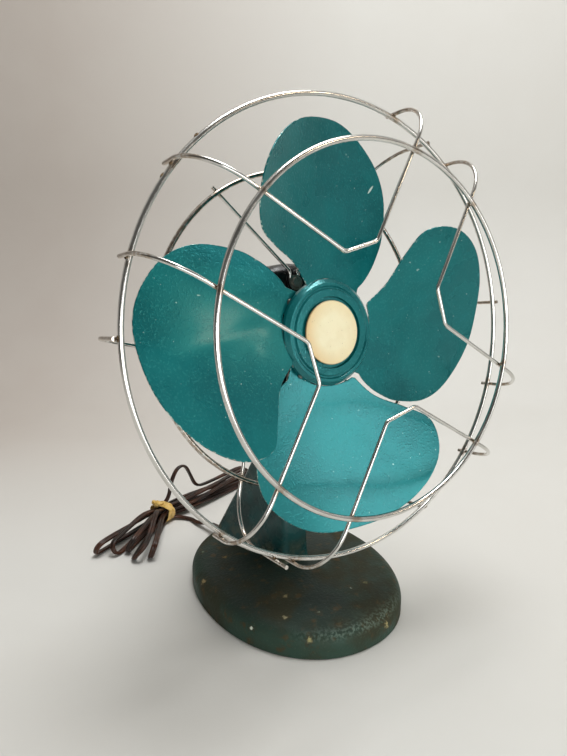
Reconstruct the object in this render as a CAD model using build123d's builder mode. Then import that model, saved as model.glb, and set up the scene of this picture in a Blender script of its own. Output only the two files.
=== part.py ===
from math import cos, pi, radians, sin, sqrt, tan
import os

from build123d import *

# A mains desk fan of the 12 inch class: oval base, cast neck, tilting motor head, four pressed
# blades and a wire guard, with its lead folded into a hank and tied.
# Millimetres. The origin is on the table under the middle of the base, Z is up, the fan blows
# towards -Y, and +X is on the right of someone who stands in front of it.

os.makedirs("parts", exist_ok=True)

# ---- driving sizes -----------------------------------------------------------------------

table_z = 0.0
running_gap = 0.06          # radial, between a shaft and what it turns in
seat_gap = 0.1              # between pieces that are pressed, welded or screwed together
sheet_gap = 0.3             # between loose neighbours
press_gap = 0.02            # radial, between pieces that are pressed on a shaft or into a bore
slot_width = 1.0            # of the slots in the screw heads
slot_depth = 0.9
deep_cut = 30.0             # longer than any bore that is cut with it

# base
base_half_width = 84.4
base_half_length = 105.6
base_roundness = 2.12       # exponent of the oval
base_crown = 27.0           # height of the top at its middle
base_crown_radius = 700.0
base_edge_radius = 12.0
base_wall = 2.6
rim_lift = 0.5
felt_thickness = 1.5
plate_thickness = 1.2
plate_screw_radius = 2.0
plate_boss_radius = 5.0
plate_screw_angles = (90, 215, 325)
plate_screw_share = 0.80    # of the way from the middle to the rim
outline_points = 32
screw_head_radius = 3.6
plate_screw_grip = 8.0      # how far the screw goes in above the plate
felt_inset = 1.0            # of the felt's edge from the plate's
wall_cut = 8.0              # half the depth of the holes through the rear wall

# neck: height, front, back, half width in front, half width behind
neck_sections = (
    (22.0, -9.0, 87.0, 13.0, 38.0),
    (45.0, -6.0, 83.0, 12.5, 26.0),
    (66.0, -4.0, 73.0, 12.5, 20.5),
    (84.0, 3.0, 62.0, 12.5, 18.0),
    (106.0, 17.8, 49.0, 12.5, 15.5),
    (128.0, 18.0, 39.5, 12.5, 13.5),
)
neck_corner = 5.0
neck_wall = 4.5
neck_bolt_radius = 3.0
neck_bolt_places = (8.0, 70.0)
neck_wire_hole_radius = 5.0
neck_hole_depth = 11.0      # of the bolt holes, above the base's top
neck_bolt_grip = 12.0
slot_clearance = 1.5        # under the ears' round ends

# tilting head
rest_tilt = 7.67            # degrees, front raised
guard_centre_y = -66.6
guard_centre_z = 240.4
pivot_back = 100.0          # from the main ring's plane to the pivot
pivot_drop = 66.0           # from the motor's axis down to the pivot
ear_radius = 9.0
lug_width = 14.0
lug_side_gap = 0.15
tilt_bolt_radius = 3.0
bolt_head_radius = 5.0
bolt_head_height = 4.0
bolt_reach = 14.0
nut_radius = 6.0
nut_height = 7.0
wing_reach = 11.0           # less than the motor's body is from the bolt, so that the nut turns freely
wing_root = 1.0             # along the bolt, from the nut's face to the wing's foot
wing_flare = 5.0            # from the nut's face to the wing's near corner
wing_height = 12.0          # from the nut's face to the wing's far corner
wing_taper = 1.0
wing_thickness = 2.6
wing_edge_radius = 1.0

# cord relief and switch, with their places on the rear wall
relief_x = -15.0
relief_z = 8.0
switch_x = 26.0
switch_z = 9.0
relief_hole_radius = 5.0
relief_flange_radius = 6.5
relief_flange_height = 2.0
relief_length = 20.0
relief_tip_radius = 3.8
relief_inside = 0.5         # how far the relief reaches in past the wall
switch_hole_radius = 5.0
switch_barrel_length = 7.0
switch_nut_radius = 7.0
switch_nut_height = 2.2
switch_bore_radius = 4.2
switch_nut_lift = 1.6
switch_box = (22.0, 10.0, 18.0)
switch_box_inset = 4.5
lever_neck_radius = 1.4
lever_tip_radius = 2.4
lever_length = 17.0
lever_neck_length = 10.0
lever_tip_length = 2.0
lever_pin_radius = 1.1
lever_pin_half = 3.4

# motor
motor_radius = 56.0
motor_split = -84.0         # distances along the axis, forward of the main ring's plane
motor_shoulder = -98.0
motor_back = -123.0
motor_wall = 2.5
front_face_radius = 46.0
back_face_radius = 24.0
front_edge_length = 10.0    # along the axis, of the front cover's rounded edge
front_edge_radius = 11.0
room_edge_length = 9.0
room_edge_radius = 9.0
rear_slope = (48.0, 16.5)   # radius, and distance behind the shoulder, of a point on the rear cover
rear_room_slope = (46.2, 14.6)
shaft_radius = 4.0
bearing_radius = 7.0
bearing_boss_radius = 11.0
front_nose_length = 5.5
front_boss_depth = 6.0
rear_boss_depth = 14.0
rotor_radius = 22.0
air_gap = 0.5
core_length = 20.0
core_middle = -84.0
stator_bolt_circle = 47.5
housing_screw_radius = 2.0
guard_screw_circle = 40.0
guard_screw_radius = 2.0
guard_boss_depth = 4.0
guard_screw_short = 0.5     # the guard's screws end this far ahead of their bosses' ends
housing_head_seat = -100.0
housing_head_radius = 3.6
housing_head_height = 2.6
housing_thread = 6.0        # how far the screws go into the front cover
housing_count = 4
housing_turn = 45.0
boss_radius = 4.2
rear_boss_radius = 5.5
vent_radius = 33.0
vent_width = 3.0
vent_length = 9.0
vent_count = 12
vent_depth = 12.0
pole_count = 4
pole_width = 12.0
yoke_inner_radius = 42.0
shoe_depth = 4.5
shoe_span = 58.0
coil_wall = 5.0
coil_fit = 0.25
coil_under = 1.0            # between a pole shoe and the coil above it
coil_over = 2.5             # between the coil and the yoke

# guard
main_ring_radius = 165.0
main_wire_radius = 1.9
front_ring_radius = 125.0
front_ring_forward = 43.5
rear_ring_radius = 125.0
rear_ring_forward = -57.3
strut_wire_radius = 1.4
loop_turn = 13.5            # degrees from +X to the first front loop's middle
loop_count = 4
loop_apex_radius = 59.1
loop_apex_half = 13.9
loop_corner_radius = 6.0
leg_bend_radius = 35.0
loop_end_forward = -8.0
strut_count = 3
strut_turn = 90.0
strut_leg_offset = 45.75    # radius minus sideways distance, along a leg that runs at 45 degrees
strut_bend_radius = 36.0
washer_thickness = 1.0
washer_radius = 6.0
guard_head_radius = 4.0
guard_head_height = 2.6
guard_head_taper = 12.0
broken_leg = 5.0            # what is left of the broken leg past the rear ring
eye_slack = 0.2

# rotor
blade_count = 4
blade_turn = 70.94
blade_thickness = 1.0
blade_curve_radius = 230.0
blade_curve_across = 35.0   # the sheet is lowest along this line, on the leading side
blade_curve_forward = -25.8
blade_reach = 160.0
hub_radius = 40.0
hub_sheet = 1.0
hub_skirt_back = -22.6
hub_land = -15.2
hub_floor = -17.6
disc_radius = 24.0
disc_front = -14.5
disc_thickness = 1.2
spider_thickness = 2.0
spider_boss_radius = 9.0
spider_boss_back = -40.0
tab_inner = 4.0
tab_outer = 23.0
tab_root = 18.0
rivet_radius = 1.6
rivet_across = 13.5
rivet_places = (24.0, 36.0)
ring_height = 2.5
collar_radius = 7.5
spider_disc_radius = 16.0
rivet_head_radius = 2.8
rivet_head_height = 1.0
rivet_head_taper = 20.0
rivet_lift = 0.4            # of a rivet's head from the sheet under its middle
groove_radius = 33.4
land_inner = 27.0
rim_drop = 0.8              # from the hub's land back to its rim
rim_round = 3.0
groove_half = 0.6
groove_slope = 1.0
disc_edge_radius = 0.6
disc_foot = (22.0, 20.0)    # outer and inner radius of the ring that the disc stands on
hub_screw_head_radius = 4.0
hub_screw_head_height = 1.4
hub_screw_grip = 4.0
spider_bore_depth = 10.0
shaft_short = 3.5           # from the spider's front to the shaft's end
shaft_chamfer = 0.6

# lead
lead_width = 5.5
lead_radius = lead_width / 2
loops = 5
strand_gap = 0.6
waist_step = 3.25
tie_middle = Vector(-52.0, 180.0, 0)
tie_half = 8.0
tie_wall = 1.8
tie_gap = 0.5
waist_heading = 32.0        # degrees, of the strands that leave the tie on the right
right_heading = 20.0
left_headings = (240.0, 232.0, 224.0, 216.0, 208.0)
left_reach = (86.0, 90.0, 79.0, 87.0, 95.0)
right_reach = (0.0, 139.0, 145.0, 142.0, 147.0)
spread_reach = 38.0
left_fold_radius = 11.0
right_fold_radius = 12.5
tail_reach = 122.0
arch_winding = 3
arch_height = 57.0
knot_radius = 4.0
knot_sink = 1.2
entry_length = lead_width   # of the straight runs at the hank's two ends
plug_length = 26.0
plug_width = 22.0
plug_height = 14.0
pin_length = 16.0
pin_width = 6.3
pin_thickness = 1.5
pin_apart = 12.7
pin_seat = 8.0              # how deep the pins sit in the plug
pin_edge = 0.4
plug_edge = 1.2

# ---- frames ------------------------------------------------------------------------------

wires_apart = main_wire_radius + strut_wire_radius + seat_gap
loop_forward = front_ring_forward - wires_apart
strut_back = rear_ring_forward - wires_apart
outside_radius = main_ring_radius + wires_apart
motor_front = strut_back - strut_wire_radius - seat_gap

tilt_cos = cos(radians(rest_tilt))
tilt_sin = sin(radians(rest_tilt))
forward = Vector(0, -tilt_cos, tilt_sin)
head_up = Vector(0, tilt_sin, tilt_cos)
guard_centre = Vector(0, guard_centre_y, guard_centre_z)
pivot = guard_centre - forward * pivot_back - head_up * pivot_drop
head = Plane(origin=guard_centre, x_dir=(1, 0, 0), z_dir=forward)
# local x is the distance from the motor's axis and local y the distance forward
axial = Plane(origin=guard_centre, x_dir=(1, 0, 0), z_dir=-head_up)
head_axis = Axis(guard_centre, forward)
pivot_plane = Plane(origin=pivot, x_dir=(0, 1, 0), z_dir=(1, 0, 0))


def turned_head(angle, distance=0.0):
    """The head's plane, turned about the motor's axis and moved forward."""
    x_dir = Vector(1, 0, 0) * cos(radians(angle)) + head_up * sin(radians(angle))
    return Plane(origin=guard_centre + forward * distance, x_dir=x_dir, z_dir=forward)


def around(count, first=0.0):
    return [first + 360 * number / count for number in range(count)]


def polar(radius, angle):
    return (radius * cos(radians(angle)), radius * sin(radians(angle)))


def save(piece, name):
    piece.part.label = name
    export_step(piece.part, f"parts/{name}.step")


# ---- base --------------------------------------------------------------------------------


def oval_point(angle, inset=0.0):
    """A point of the base's outline; the angle runs round from +X."""
    across = cos(radians(angle))
    along = sin(radians(angle))
    power = 2 / base_roundness
    x = (base_half_width - inset) * abs(across) ** power
    y = (base_half_length - inset) * abs(along) ** power
    return (x if across >= 0 else -x, y if along >= 0 else -y)


def oval_seat(x, height):
    """A plane on the base's rear wall at x, facing out of the wall."""
    share = 1 - abs(x / base_half_width) ** base_roundness
    y = base_half_length * share ** (1 / base_roundness)
    slope_x = (abs(x) / base_half_width) ** (base_roundness - 1) / base_half_width
    slope_y = (y / base_half_length) ** (base_roundness - 1) / base_half_length
    out = Vector(slope_x if x >= 0 else -slope_x, slope_y, 0).normalized()
    return Plane(origin=(x, y, height), x_dir=(out.Y, -out.X, 0), z_dir=out)




def base_block(inset, bottom):
    """The base's body as a solid, its whole surface moved inwards by inset."""
    with BuildPart() as block:
        with BuildSketch(Plane.XY.offset(bottom)):
            with BuildLine():
                Spline(*[oval_point(angle, inset) for angle in around(outline_points)], periodic=True)
            make_face()
        extrude(amount=base_crown - inset - bottom)
        with Locations((0, 0, base_crown - base_crown_radius)):
            Sphere(base_crown_radius - inset, mode=Mode.INTERSECT)
        top_face = block.faces().sort_by(Axis.Z)[-1]
        fillet(top_face.edges(), base_edge_radius - inset)
    return block.part


print("base")
base_outer = base_block(0.0, table_z + rim_lift)
base_room = base_block(base_wall, table_z)

felt_top = table_z + felt_thickness
plate_top = felt_top + plate_thickness
plate_inset = base_wall + sheet_gap
screw_places = []
for angle in plate_screw_angles:
    rim_x, rim_y = oval_point(angle)
    screw_places.append((rim_x * plate_screw_share, rim_y * plate_screw_share))
bolt_places = [(0, y) for y in neck_bolt_places]

relief_plane = oval_seat(relief_x, relief_z)
switch_plane = oval_seat(switch_x, switch_z)

with BuildPart() as base_shell:
    add(base_outer)
    add(base_room, mode=Mode.SUBTRACT)
    with Locations(*[(x, y, plate_top) for x, y in screw_places]):
        Cylinder(plate_boss_radius, base_crown - plate_top, align=(Align.CENTER, Align.CENTER, Align.MIN))
    add(base_outer, mode=Mode.INTERSECT)
    with Locations(*[(x, y, plate_top) for x, y in screw_places]):
        Cylinder(plate_screw_radius + seat_gap, plate_screw_grip + 1,
                 align=(Align.CENTER, Align.CENTER, Align.MIN), mode=Mode.SUBTRACT)
    with Locations(*[(x, y, plate_top) for x, y in bolt_places]):
        Cylinder(neck_bolt_radius + seat_gap, base_crown, align=(Align.CENTER, Align.CENTER, Align.MIN),
                 mode=Mode.SUBTRACT)
    with Locations((0, sum(neck_bolt_places) / 2, plate_top)):
        Cylinder(neck_wire_hole_radius, base_crown, align=(Align.CENTER, Align.CENTER, Align.MIN),
                 mode=Mode.SUBTRACT)
    with BuildSketch(relief_plane):
        Circle(relief_hole_radius)
    extrude(amount=wall_cut, both=True, mode=Mode.SUBTRACT)
    with BuildSketch(switch_plane):
        Circle(switch_hole_radius + seat_gap)
    extrude(amount=wall_cut, both=True, mode=Mode.SUBTRACT)
save(base_shell, "base_shell")

with BuildPart() as bottom_plate:
    with BuildSketch(Plane.XY.offset(felt_top)):
        with BuildLine():
            Spline(*[oval_point(angle, plate_inset) for angle in around(outline_points)], periodic=True)
        make_face()
        with Locations(*screw_places):
            Circle(plate_screw_radius + seat_gap, mode=Mode.SUBTRACT)
    extrude(amount=plate_thickness)
save(bottom_plate, "bottom_plate")

screw_head_height = felt_thickness - seat_gap
with BuildPart() as felt_pad:
    with BuildSketch(Plane.XY.offset(table_z)):
        with BuildLine():
            Spline(*[oval_point(angle, plate_inset + felt_inset) for angle in around(outline_points)],
                   periodic=True)
        make_face()
        with Locations(*screw_places):
            Circle(screw_head_radius + sheet_gap, mode=Mode.SUBTRACT)
    extrude(amount=felt_thickness)
save(felt_pad, "felt_pad")

with BuildPart() as plate_screws:
    with Locations(*[(x, y, felt_top) for x, y in screw_places]):
        Cylinder(plate_screw_radius, plate_thickness + plate_screw_grip,
                 align=(Align.CENTER, Align.CENTER, Align.MIN))
        Cylinder(screw_head_radius, screw_head_height, align=(Align.CENTER, Align.CENTER, Align.MAX))
    with BuildSketch(Plane.XY.offset(felt_top - screw_head_height)):
        with Locations(*screw_places):
            Rectangle(2 * screw_head_radius, slot_width)
    extrude(amount=slot_depth, mode=Mode.SUBTRACT)
save(plate_screws, "plate_screws")

# ---- neck --------------------------------------------------------------------------------


def neck_block(sections, inset):
    with BuildPart() as block:
        for height, front, back, front_half, back_half in sections:
            with BuildSketch(Plane.XY.offset(height)) as outline:
                with BuildLine():
                    Polyline((inset - front_half, front + inset), (front_half - inset, front + inset),
                             (back_half - inset, back - inset), (inset - back_half, back - inset),
                             close=True)
                make_face()
                fillet(outline.vertices(), neck_corner - inset / 2)
        loft()
    return block.part


print("neck")
neck_top_section = neck_sections[-1]
ear_width = 2 * neck_top_section[3]
slot_floor = pivot.Z - ear_radius - slot_clearance
slot_width = lug_width + 2 * lug_side_gap
neck_room_sections = neck_sections[1:]

with BuildPart() as neck:
    add(neck_block(neck_sections, 0.0))
    with BuildSketch(Plane.YZ) as cheek:
        with BuildLine():
            front_foot = (neck_top_section[1], neck_top_section[0])
            back_foot = (neck_top_section[2], neck_top_section[0])
            front_top = (pivot.Y - ear_radius, pivot.Z)
            back_top = (pivot.Y + ear_radius, pivot.Z)
            Line(front_foot, front_top)
            ThreePointArc(front_top, (pivot.Y, pivot.Z + ear_radius), back_top)
            Line(back_top, back_foot)
            Line(back_foot, front_foot)
        make_face()
    extrude(amount=ear_width / 2, both=True)
    add(base_outer, mode=Mode.SUBTRACT)
    add(neck_block(neck_room_sections, neck_wall), mode=Mode.SUBTRACT)
    with Locations((0, pivot.Y, slot_floor)):
        Box(slot_width, 4 * ear_radius, 4 * ear_radius, align=(Align.CENTER, Align.CENTER, Align.MIN),
            mode=Mode.SUBTRACT)
    with BuildSketch(pivot_plane):
        Circle(tilt_bolt_radius + running_gap)
    extrude(amount=ear_width, both=True, mode=Mode.SUBTRACT)
    with Locations(*[(x, y, table_z) for x, y in bolt_places]):
        Cylinder(neck_bolt_radius + running_gap, base_crown + neck_hole_depth,
                 align=(Align.CENTER, Align.CENTER, Align.MIN), mode=Mode.SUBTRACT)
    with Locations((0, sum(neck_bolt_places) / 2, table_z)):
        Cylinder(neck_wire_hole_radius, neck_sections[1][0] + neck_wire_hole_radius,
                 align=(Align.CENTER, Align.CENTER, Align.MIN), mode=Mode.SUBTRACT)
save(neck, "neck")


def under_base(x, y):
    """Height of the inside of the base's top at a place."""
    return base_crown - base_crown_radius + sqrt((base_crown_radius - base_wall) ** 2 - x * x - y * y)


with BuildPart() as neck_bolts:
    for x, y in bolt_places:
        under = under_base(x, y + bolt_head_radius) - seat_gap
        with Locations((x, y, under)):
            Cylinder(bolt_head_radius, bolt_head_height, align=(Align.CENTER, Align.CENTER, Align.MAX))
            Cylinder(neck_bolt_radius, neck_bolt_grip, align=(Align.CENTER, Align.CENTER, Align.MIN))
save(neck_bolts, "neck_bolts")

with BuildPart() as tilt_bolt:
    ear_face = ear_width / 2
    with BuildSketch(pivot_plane.offset(-ear_face - seat_gap)):
        Circle(tilt_bolt_radius)
    extrude(amount=ear_width + seat_gap + bolt_reach)
    with BuildSketch(pivot_plane.offset(-ear_face - seat_gap)):
        RegularPolygon(bolt_head_radius, 6)
    extrude(amount=-bolt_head_height)
save(tilt_bolt, "tilt_bolt")

with BuildPart() as tilt_nut:
    nut_seat = pivot_plane.offset(ear_width / 2 + sheet_gap)
    with BuildSketch(nut_seat):
        Circle(nut_radius)
    extrude(amount=nut_height)
    with BuildSketch(Plane(origin=nut_seat.origin, x_dir=(0, 1, 0), z_dir=(0, 0, 1))) as wings:
        with BuildLine():
            Polyline((-wing_reach, -wing_flare), (-nut_radius / 2, -wing_root),
                     (nut_radius / 2, -wing_root), (wing_reach, -wing_flare),
                     (wing_reach - wing_taper, -wing_height), (nut_radius, -nut_height),
                     (-nut_radius, -nut_height), (wing_taper - wing_reach, -wing_height), close=True)
        make_face()
        fillet(wings.vertices(), wing_edge_radius)
    extrude(amount=wing_thickness / 2, both=True)
    with BuildSketch(nut_seat.offset(-1)):
        Circle(tilt_bolt_radius + running_gap)
    extrude(amount=deep_cut, mode=Mode.SUBTRACT)
save(tilt_nut, "tilt_nut")

# ---- switch and cord relief --------------------------------------------------------------

print("switch")
with BuildPart() as switch_body:
    with BuildSketch(switch_plane.offset(-base_wall - switch_box_inset)):
        Rectangle(switch_box[0], switch_box[1])
    extrude(amount=-switch_box[2])
    with BuildSketch(switch_plane.offset(-base_wall - switch_box_inset)):
        Circle(switch_hole_radius)
    extrude(amount=base_wall + switch_box_inset + switch_barrel_length)
    with BuildSketch(switch_plane.offset(-base_wall - lever_pin_radius)):
        Circle(switch_bore_radius)
    extrude(amount=base_wall + lever_pin_radius + switch_barrel_length, mode=Mode.SUBTRACT)
save(switch_body, "switch_body")

with BuildPart() as switch_nut:
    with BuildSketch(switch_plane.offset(switch_nut_lift)):
        RegularPolygon(switch_nut_radius, 6)
        Circle(switch_hole_radius + running_gap, mode=Mode.SUBTRACT)
    extrude(amount=switch_nut_height)
save(switch_nut, "switch_nut")

with BuildPart() as switch_lever:
    lever_foot = switch_plane.origin + switch_plane.z_dir * (sheet_gap - base_wall)
    with BuildSketch(Plane(origin=lever_foot, x_dir=switch_plane.z_dir, z_dir=switch_plane.x_dir)):
        with BuildLine():
            Polyline((0, 0), (0, lever_neck_radius), (lever_neck_length, lever_neck_radius),
                     (lever_length - lever_tip_length, lever_tip_radius),
                     (lever_length, lever_neck_radius), (lever_length, 0), close=True)
        make_face()
    revolve(axis=Axis(lever_foot, switch_plane.z_dir))
    with BuildSketch(Plane(origin=lever_foot, x_dir=switch_plane.z_dir, z_dir=switch_plane.x_dir)):
        Circle(lever_pin_radius)
    extrude(amount=lever_pin_half, both=True)
save(switch_lever, "switch_lever")

# ---- motor -------------------------------------------------------------------------------

print("motor")
core_front = core_middle + core_length / 2
core_back = core_middle - core_length / 2
stator_radius = motor_radius - motor_wall - sheet_gap
room_radius = motor_radius - motor_wall
room_front = motor_front - motor_wall
room_back = motor_back + motor_wall
guard_screw_places = [polar(guard_screw_circle, angle) for angle in around(strut_count, strut_turn)]
housing_places = [polar(stator_bolt_circle, angle) for angle in around(housing_count, housing_turn)]

edge_end = (motor_radius, motor_front - front_edge_length)
room_edge_end = (room_radius, room_front - room_edge_length)
front_room_radius = front_face_radius - 1
with BuildPart() as motor_front_cover:
    with BuildSketch(axial) as profile:
        with BuildLine():
            Polyline((0, motor_front), (front_face_radius, motor_front))
            RadiusArc((front_face_radius, motor_front), edge_end, front_edge_radius)
            Polyline(edge_end, (motor_radius, motor_split), (room_radius, motor_split), room_edge_end)
            RadiusArc(room_edge_end, (front_room_radius, room_front), -room_edge_radius)
            Polyline((front_room_radius, room_front), (0, room_front), (0, motor_front))
        make_face()
    revolve(axis=head_axis)
    with BuildSketch(head.offset(motor_front + front_nose_length)):
        Circle(bearing_boss_radius)
    extrude(amount=-(front_nose_length + front_boss_depth))
    with BuildSketch(head.offset(room_front)):
        with Locations(*guard_screw_places):
            Circle(boss_radius)
    extrude(amount=-guard_boss_depth)
    with BuildSketch(head.offset(room_front)):
        with Locations(*housing_places):
            Circle(boss_radius)
    extrude(amount=-(room_front - core_front))
    with BuildSketch(head.offset(motor_front + front_nose_length)):
        Circle(bearing_radius)
    extrude(amount=-deep_cut, mode=Mode.SUBTRACT)
    with BuildSketch(head.offset(motor_front)):
        with Locations(*guard_screw_places):
            Circle(guard_screw_radius + running_gap)
    extrude(amount=-(motor_wall + guard_boss_depth), mode=Mode.SUBTRACT)
    with BuildSketch(head.offset(core_front)):
        with Locations(*housing_places):
            Circle(housing_screw_radius + running_gap)
    extrude(amount=housing_thread + 1, mode=Mode.SUBTRACT)
save(motor_front_cover, "motor_front_cover")

cover_seam = motor_split - seat_gap


def rear_body(front, radius, slope, back):
    """The rear cover's round bulk, from a flat front to the edge of its back face."""
    with BuildPart() as bulk:
        with BuildSketch(axial):
            with BuildLine():
                Polyline((0, front), (radius, front), (radius, motor_shoulder))
                Spline((radius, motor_shoulder), (slope[0], motor_shoulder - slope[1]),
                       (back_face_radius, back), tangents=[(0, -1), (-1, 0)])
                Polyline((back_face_radius, back), (0, back), (0, front))
            make_face()
        revolve(axis=head_axis)
    return bulk.part


rear_outside = rear_body(cover_seam, motor_radius, rear_slope, motor_back)
rear_inside = rear_body(cover_seam + 5, room_radius, rear_room_slope, room_back)
seat_slope = (rear_slope[0] + seat_gap, rear_slope[1])
lug_seat = rear_body(cover_seam + 5, motor_radius + seat_gap, seat_slope, motor_back - seat_gap)

with BuildPart() as rear_bosses:
    with BuildSketch(head.offset(core_back)):
        with Locations(*housing_places):
            Circle(rear_boss_radius)
    extrude(amount=-deep_cut)
    add(rear_outside, mode=Mode.INTERSECT)

with BuildPart() as motor_rear_cover:
    add(rear_outside)
    add(rear_inside, mode=Mode.SUBTRACT)
    with BuildSketch(head.offset(room_back)):
        Circle(bearing_boss_radius)
    extrude(amount=rear_boss_depth)
    add(rear_bosses.part)
    with BuildSketch(head.offset(room_back)):
        Circle(bearing_radius)
    extrude(amount=deep_cut, mode=Mode.SUBTRACT)
    with BuildSketch(head.offset(housing_head_seat)):
        with Locations(*housing_places):
            Circle(housing_head_radius + sheet_gap)
    extrude(amount=-deep_cut, mode=Mode.SUBTRACT)
    with BuildSketch(head.offset(core_back)):
        with Locations(*housing_places):
            Circle(housing_screw_radius + running_gap)
    extrude(amount=-deep_cut, mode=Mode.SUBTRACT)
    with BuildSketch(head.offset(motor_back)):
        with PolarLocations(vent_radius, vent_count):
            SlotOverall(vent_length + vent_width, vent_width)
    extrude(amount=vent_depth, mode=Mode.SUBTRACT)
save(motor_rear_cover, "motor_rear_cover")

with BuildPart() as tilt_lug:
    with BuildSketch(pivot_plane.offset(-lug_width / 2)):
        Circle(ear_radius)
    extrude(amount=lug_width)
    with BuildSketch(Plane(origin=pivot, x_dir=(1, 0, 0), z_dir=head_up)):
        Rectangle(lug_width, 2 * ear_radius)
    extrude(amount=pivot_drop - room_radius)
    add(lug_seat, mode=Mode.SUBTRACT)
    with BuildSketch(pivot_plane.offset(-lug_width)):
        Circle(tilt_bolt_radius + running_gap)
    extrude(amount=2 * lug_width, mode=Mode.SUBTRACT)
save(tilt_lug, "tilt_lug")

stator_bore = rotor_radius + air_gap
with BuildPart() as stator_core:
    with BuildSketch(head.offset(core_back + seat_gap)):
        Circle(stator_radius)
        Circle(yoke_inner_radius, mode=Mode.SUBTRACT)
        with PolarLocations((stator_bore + yoke_inner_radius) / 2 + 2, pole_count):
            Rectangle(yoke_inner_radius - stator_bore, pole_width)
        for angle in around(pole_count):
            with BuildLine():
                start = angle - shoe_span / 2
                CenterArc((0, 0), stator_bore, start, shoe_span)
                CenterArc((0, 0), stator_bore + shoe_depth, start, shoe_span)
                Line(polar(stator_bore, start), polar(stator_bore + shoe_depth, start))
                stop = start + shoe_span
                Line(polar(stator_bore, stop), polar(stator_bore + shoe_depth, stop))
            make_face()
        Circle(stator_bore, mode=Mode.SUBTRACT)
        with Locations(*housing_places):
            Circle(housing_screw_radius + seat_gap, mode=Mode.SUBTRACT)
    extrude(amount=core_length - 2 * seat_gap)
save(stator_core, "stator_core")

coil_inner = stator_bore + shoe_depth + coil_under
coil_outer = yoke_inner_radius - coil_over
with BuildPart() as field_coils:
    for angle in around(pole_count):
        out = turned_head(angle).x_dir
        with BuildSketch(Plane(origin=guard_centre + forward * core_middle + out * coil_inner,
                               x_dir=forward, z_dir=out)):
            RectangleRounded(core_length + 2 * coil_wall, pole_width + 2 * coil_wall, coil_wall)
            Rectangle(core_length + 2 * coil_fit, pole_width + 2 * coil_fit, mode=Mode.SUBTRACT)
        extrude(amount=coil_outer - coil_inner)
save(field_coils, "field_coils")

bush_radius = bearing_radius - press_gap
shaft_bore = shaft_radius + running_gap
with BuildPart() as front_bearing:
    with BuildSketch(head.offset(motor_front + front_nose_length)):
        Circle(bush_radius)
        Circle(shaft_bore, mode=Mode.SUBTRACT)
    extrude(amount=-(front_nose_length + front_boss_depth))
save(front_bearing, "front_bearing")

with BuildPart() as rear_bearing:
    with BuildSketch(head.offset(room_back + seat_gap)):
        Circle(bush_radius)
        Circle(shaft_bore, mode=Mode.SUBTRACT)
    extrude(amount=rear_boss_depth - seat_gap)
save(rear_bearing, "rear_bearing")

with BuildPart() as housing_screws:
    with BuildSketch(head.offset(housing_head_seat)):
        with Locations(*housing_places):
            Circle(housing_screw_radius)
    extrude(amount=core_front + housing_thread - housing_head_seat)
    with BuildSketch(head.offset(housing_head_seat)):
        with Locations(*housing_places):
            Circle(housing_head_radius)
    extrude(amount=-housing_head_height)
    with BuildSketch(head.offset(housing_head_seat - housing_head_height)):
        with Locations(*housing_places):
            Rectangle(2 * housing_head_radius, slot_width)
    extrude(amount=slot_depth, mode=Mode.SUBTRACT)
save(housing_screws, "housing_screws")

# ---- guard -------------------------------------------------------------------------------

print("guard")
for name, ring_radius, ring_forward in (
    ("guard_main_ring", main_ring_radius, 0.0),
    ("guard_front_ring", front_ring_radius, front_ring_forward),
    ("guard_rear_ring", rear_ring_radius, rear_ring_forward),
):
    with BuildPart() as ring:
        with BuildSketch(axial):
            with Locations((ring_radius, ring_forward)):
                Circle(main_wire_radius)
        revolve(axis=head_axis)
    save(ring, name)


def leg_point(offset, radius):
    """Where a leg that runs at 45 degrees reaches a radius; offset is out minus sideways."""
    sideways = (-offset + sqrt(2 * radius ** 2 - offset ** 2)) / 2
    return (sideways + offset, sideways)


def wire(path_points, radii, turn):
    """A bent wire along points given as out, sideways and forward."""
    with BuildPart() as bent:
        with BuildLine(turned_head(turn)) as path:
            FilletPolyline(*path_points, radius=radii)
        start = path.line @ 0
        with BuildSketch(Plane(origin=start, z_dir=path.line % 0)):
            Circle(strut_wire_radius)
        sweep(path=path.line)
    return bent


corner_out, corner_side = leg_point(loop_apex_radius - loop_apex_half, outside_radius)
for number, turn in enumerate(around(loop_count, loop_turn), 1):
    loop_wire = wire(
        ((corner_out, corner_side, loop_end_forward), (corner_out, corner_side, loop_forward),
         (loop_apex_radius, loop_apex_half, loop_forward), (loop_apex_radius, -loop_apex_half, loop_forward),
         (corner_out, -corner_side, loop_forward), (corner_out, -corner_side, loop_end_forward)),
        (leg_bend_radius, loop_corner_radius, loop_corner_radius, leg_bend_radius),
        turn,
    )
    save(loop_wire, f"front_loop_{number}")

eye_half = guard_screw_radius + strut_wire_radius + eye_slack
eye_bottom = guard_screw_circle - eye_half
eye_top = strut_leg_offset + eye_half
broken_radius = rear_ring_radius + broken_leg
strut_corner = leg_point(strut_leg_offset, outside_radius)
broken_end = leg_point(strut_leg_offset, broken_radius)
# where each leg's end lies forward of the main ring; the first strut has lost its second leg's end
strut_ends = ((0.0, None), (-2.0, 16.0), (-2.0, 2.0))


def strut_leg(side, end_forward):
    if end_forward is None:
        return [(broken_end[0], side * broken_end[1], strut_back)], []
    out, sideways = strut_corner
    points = [(out, side * sideways, end_forward), (out, side * sideways, strut_back)]
    return points, [strut_bend_radius]


for number, turn in enumerate(around(strut_count, strut_turn), 1):
    first_points, first_radii = strut_leg(-1, strut_ends[number - 1][0])
    last_points, last_radii = strut_leg(1, strut_ends[number - 1][1])
    eye_points = [(eye_top, -eye_half, strut_back), (eye_bottom, -eye_half, strut_back),
                  (eye_bottom, eye_half, strut_back), (eye_top, eye_half, strut_back)]
    eye_radii = [loop_corner_radius, eye_half - 0.05, eye_half - 0.05, loop_corner_radius]
    strut = wire(first_points + eye_points + last_points[::-1], first_radii + eye_radii + last_radii, turn)
    save(strut, f"rear_strut_{number}")

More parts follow.
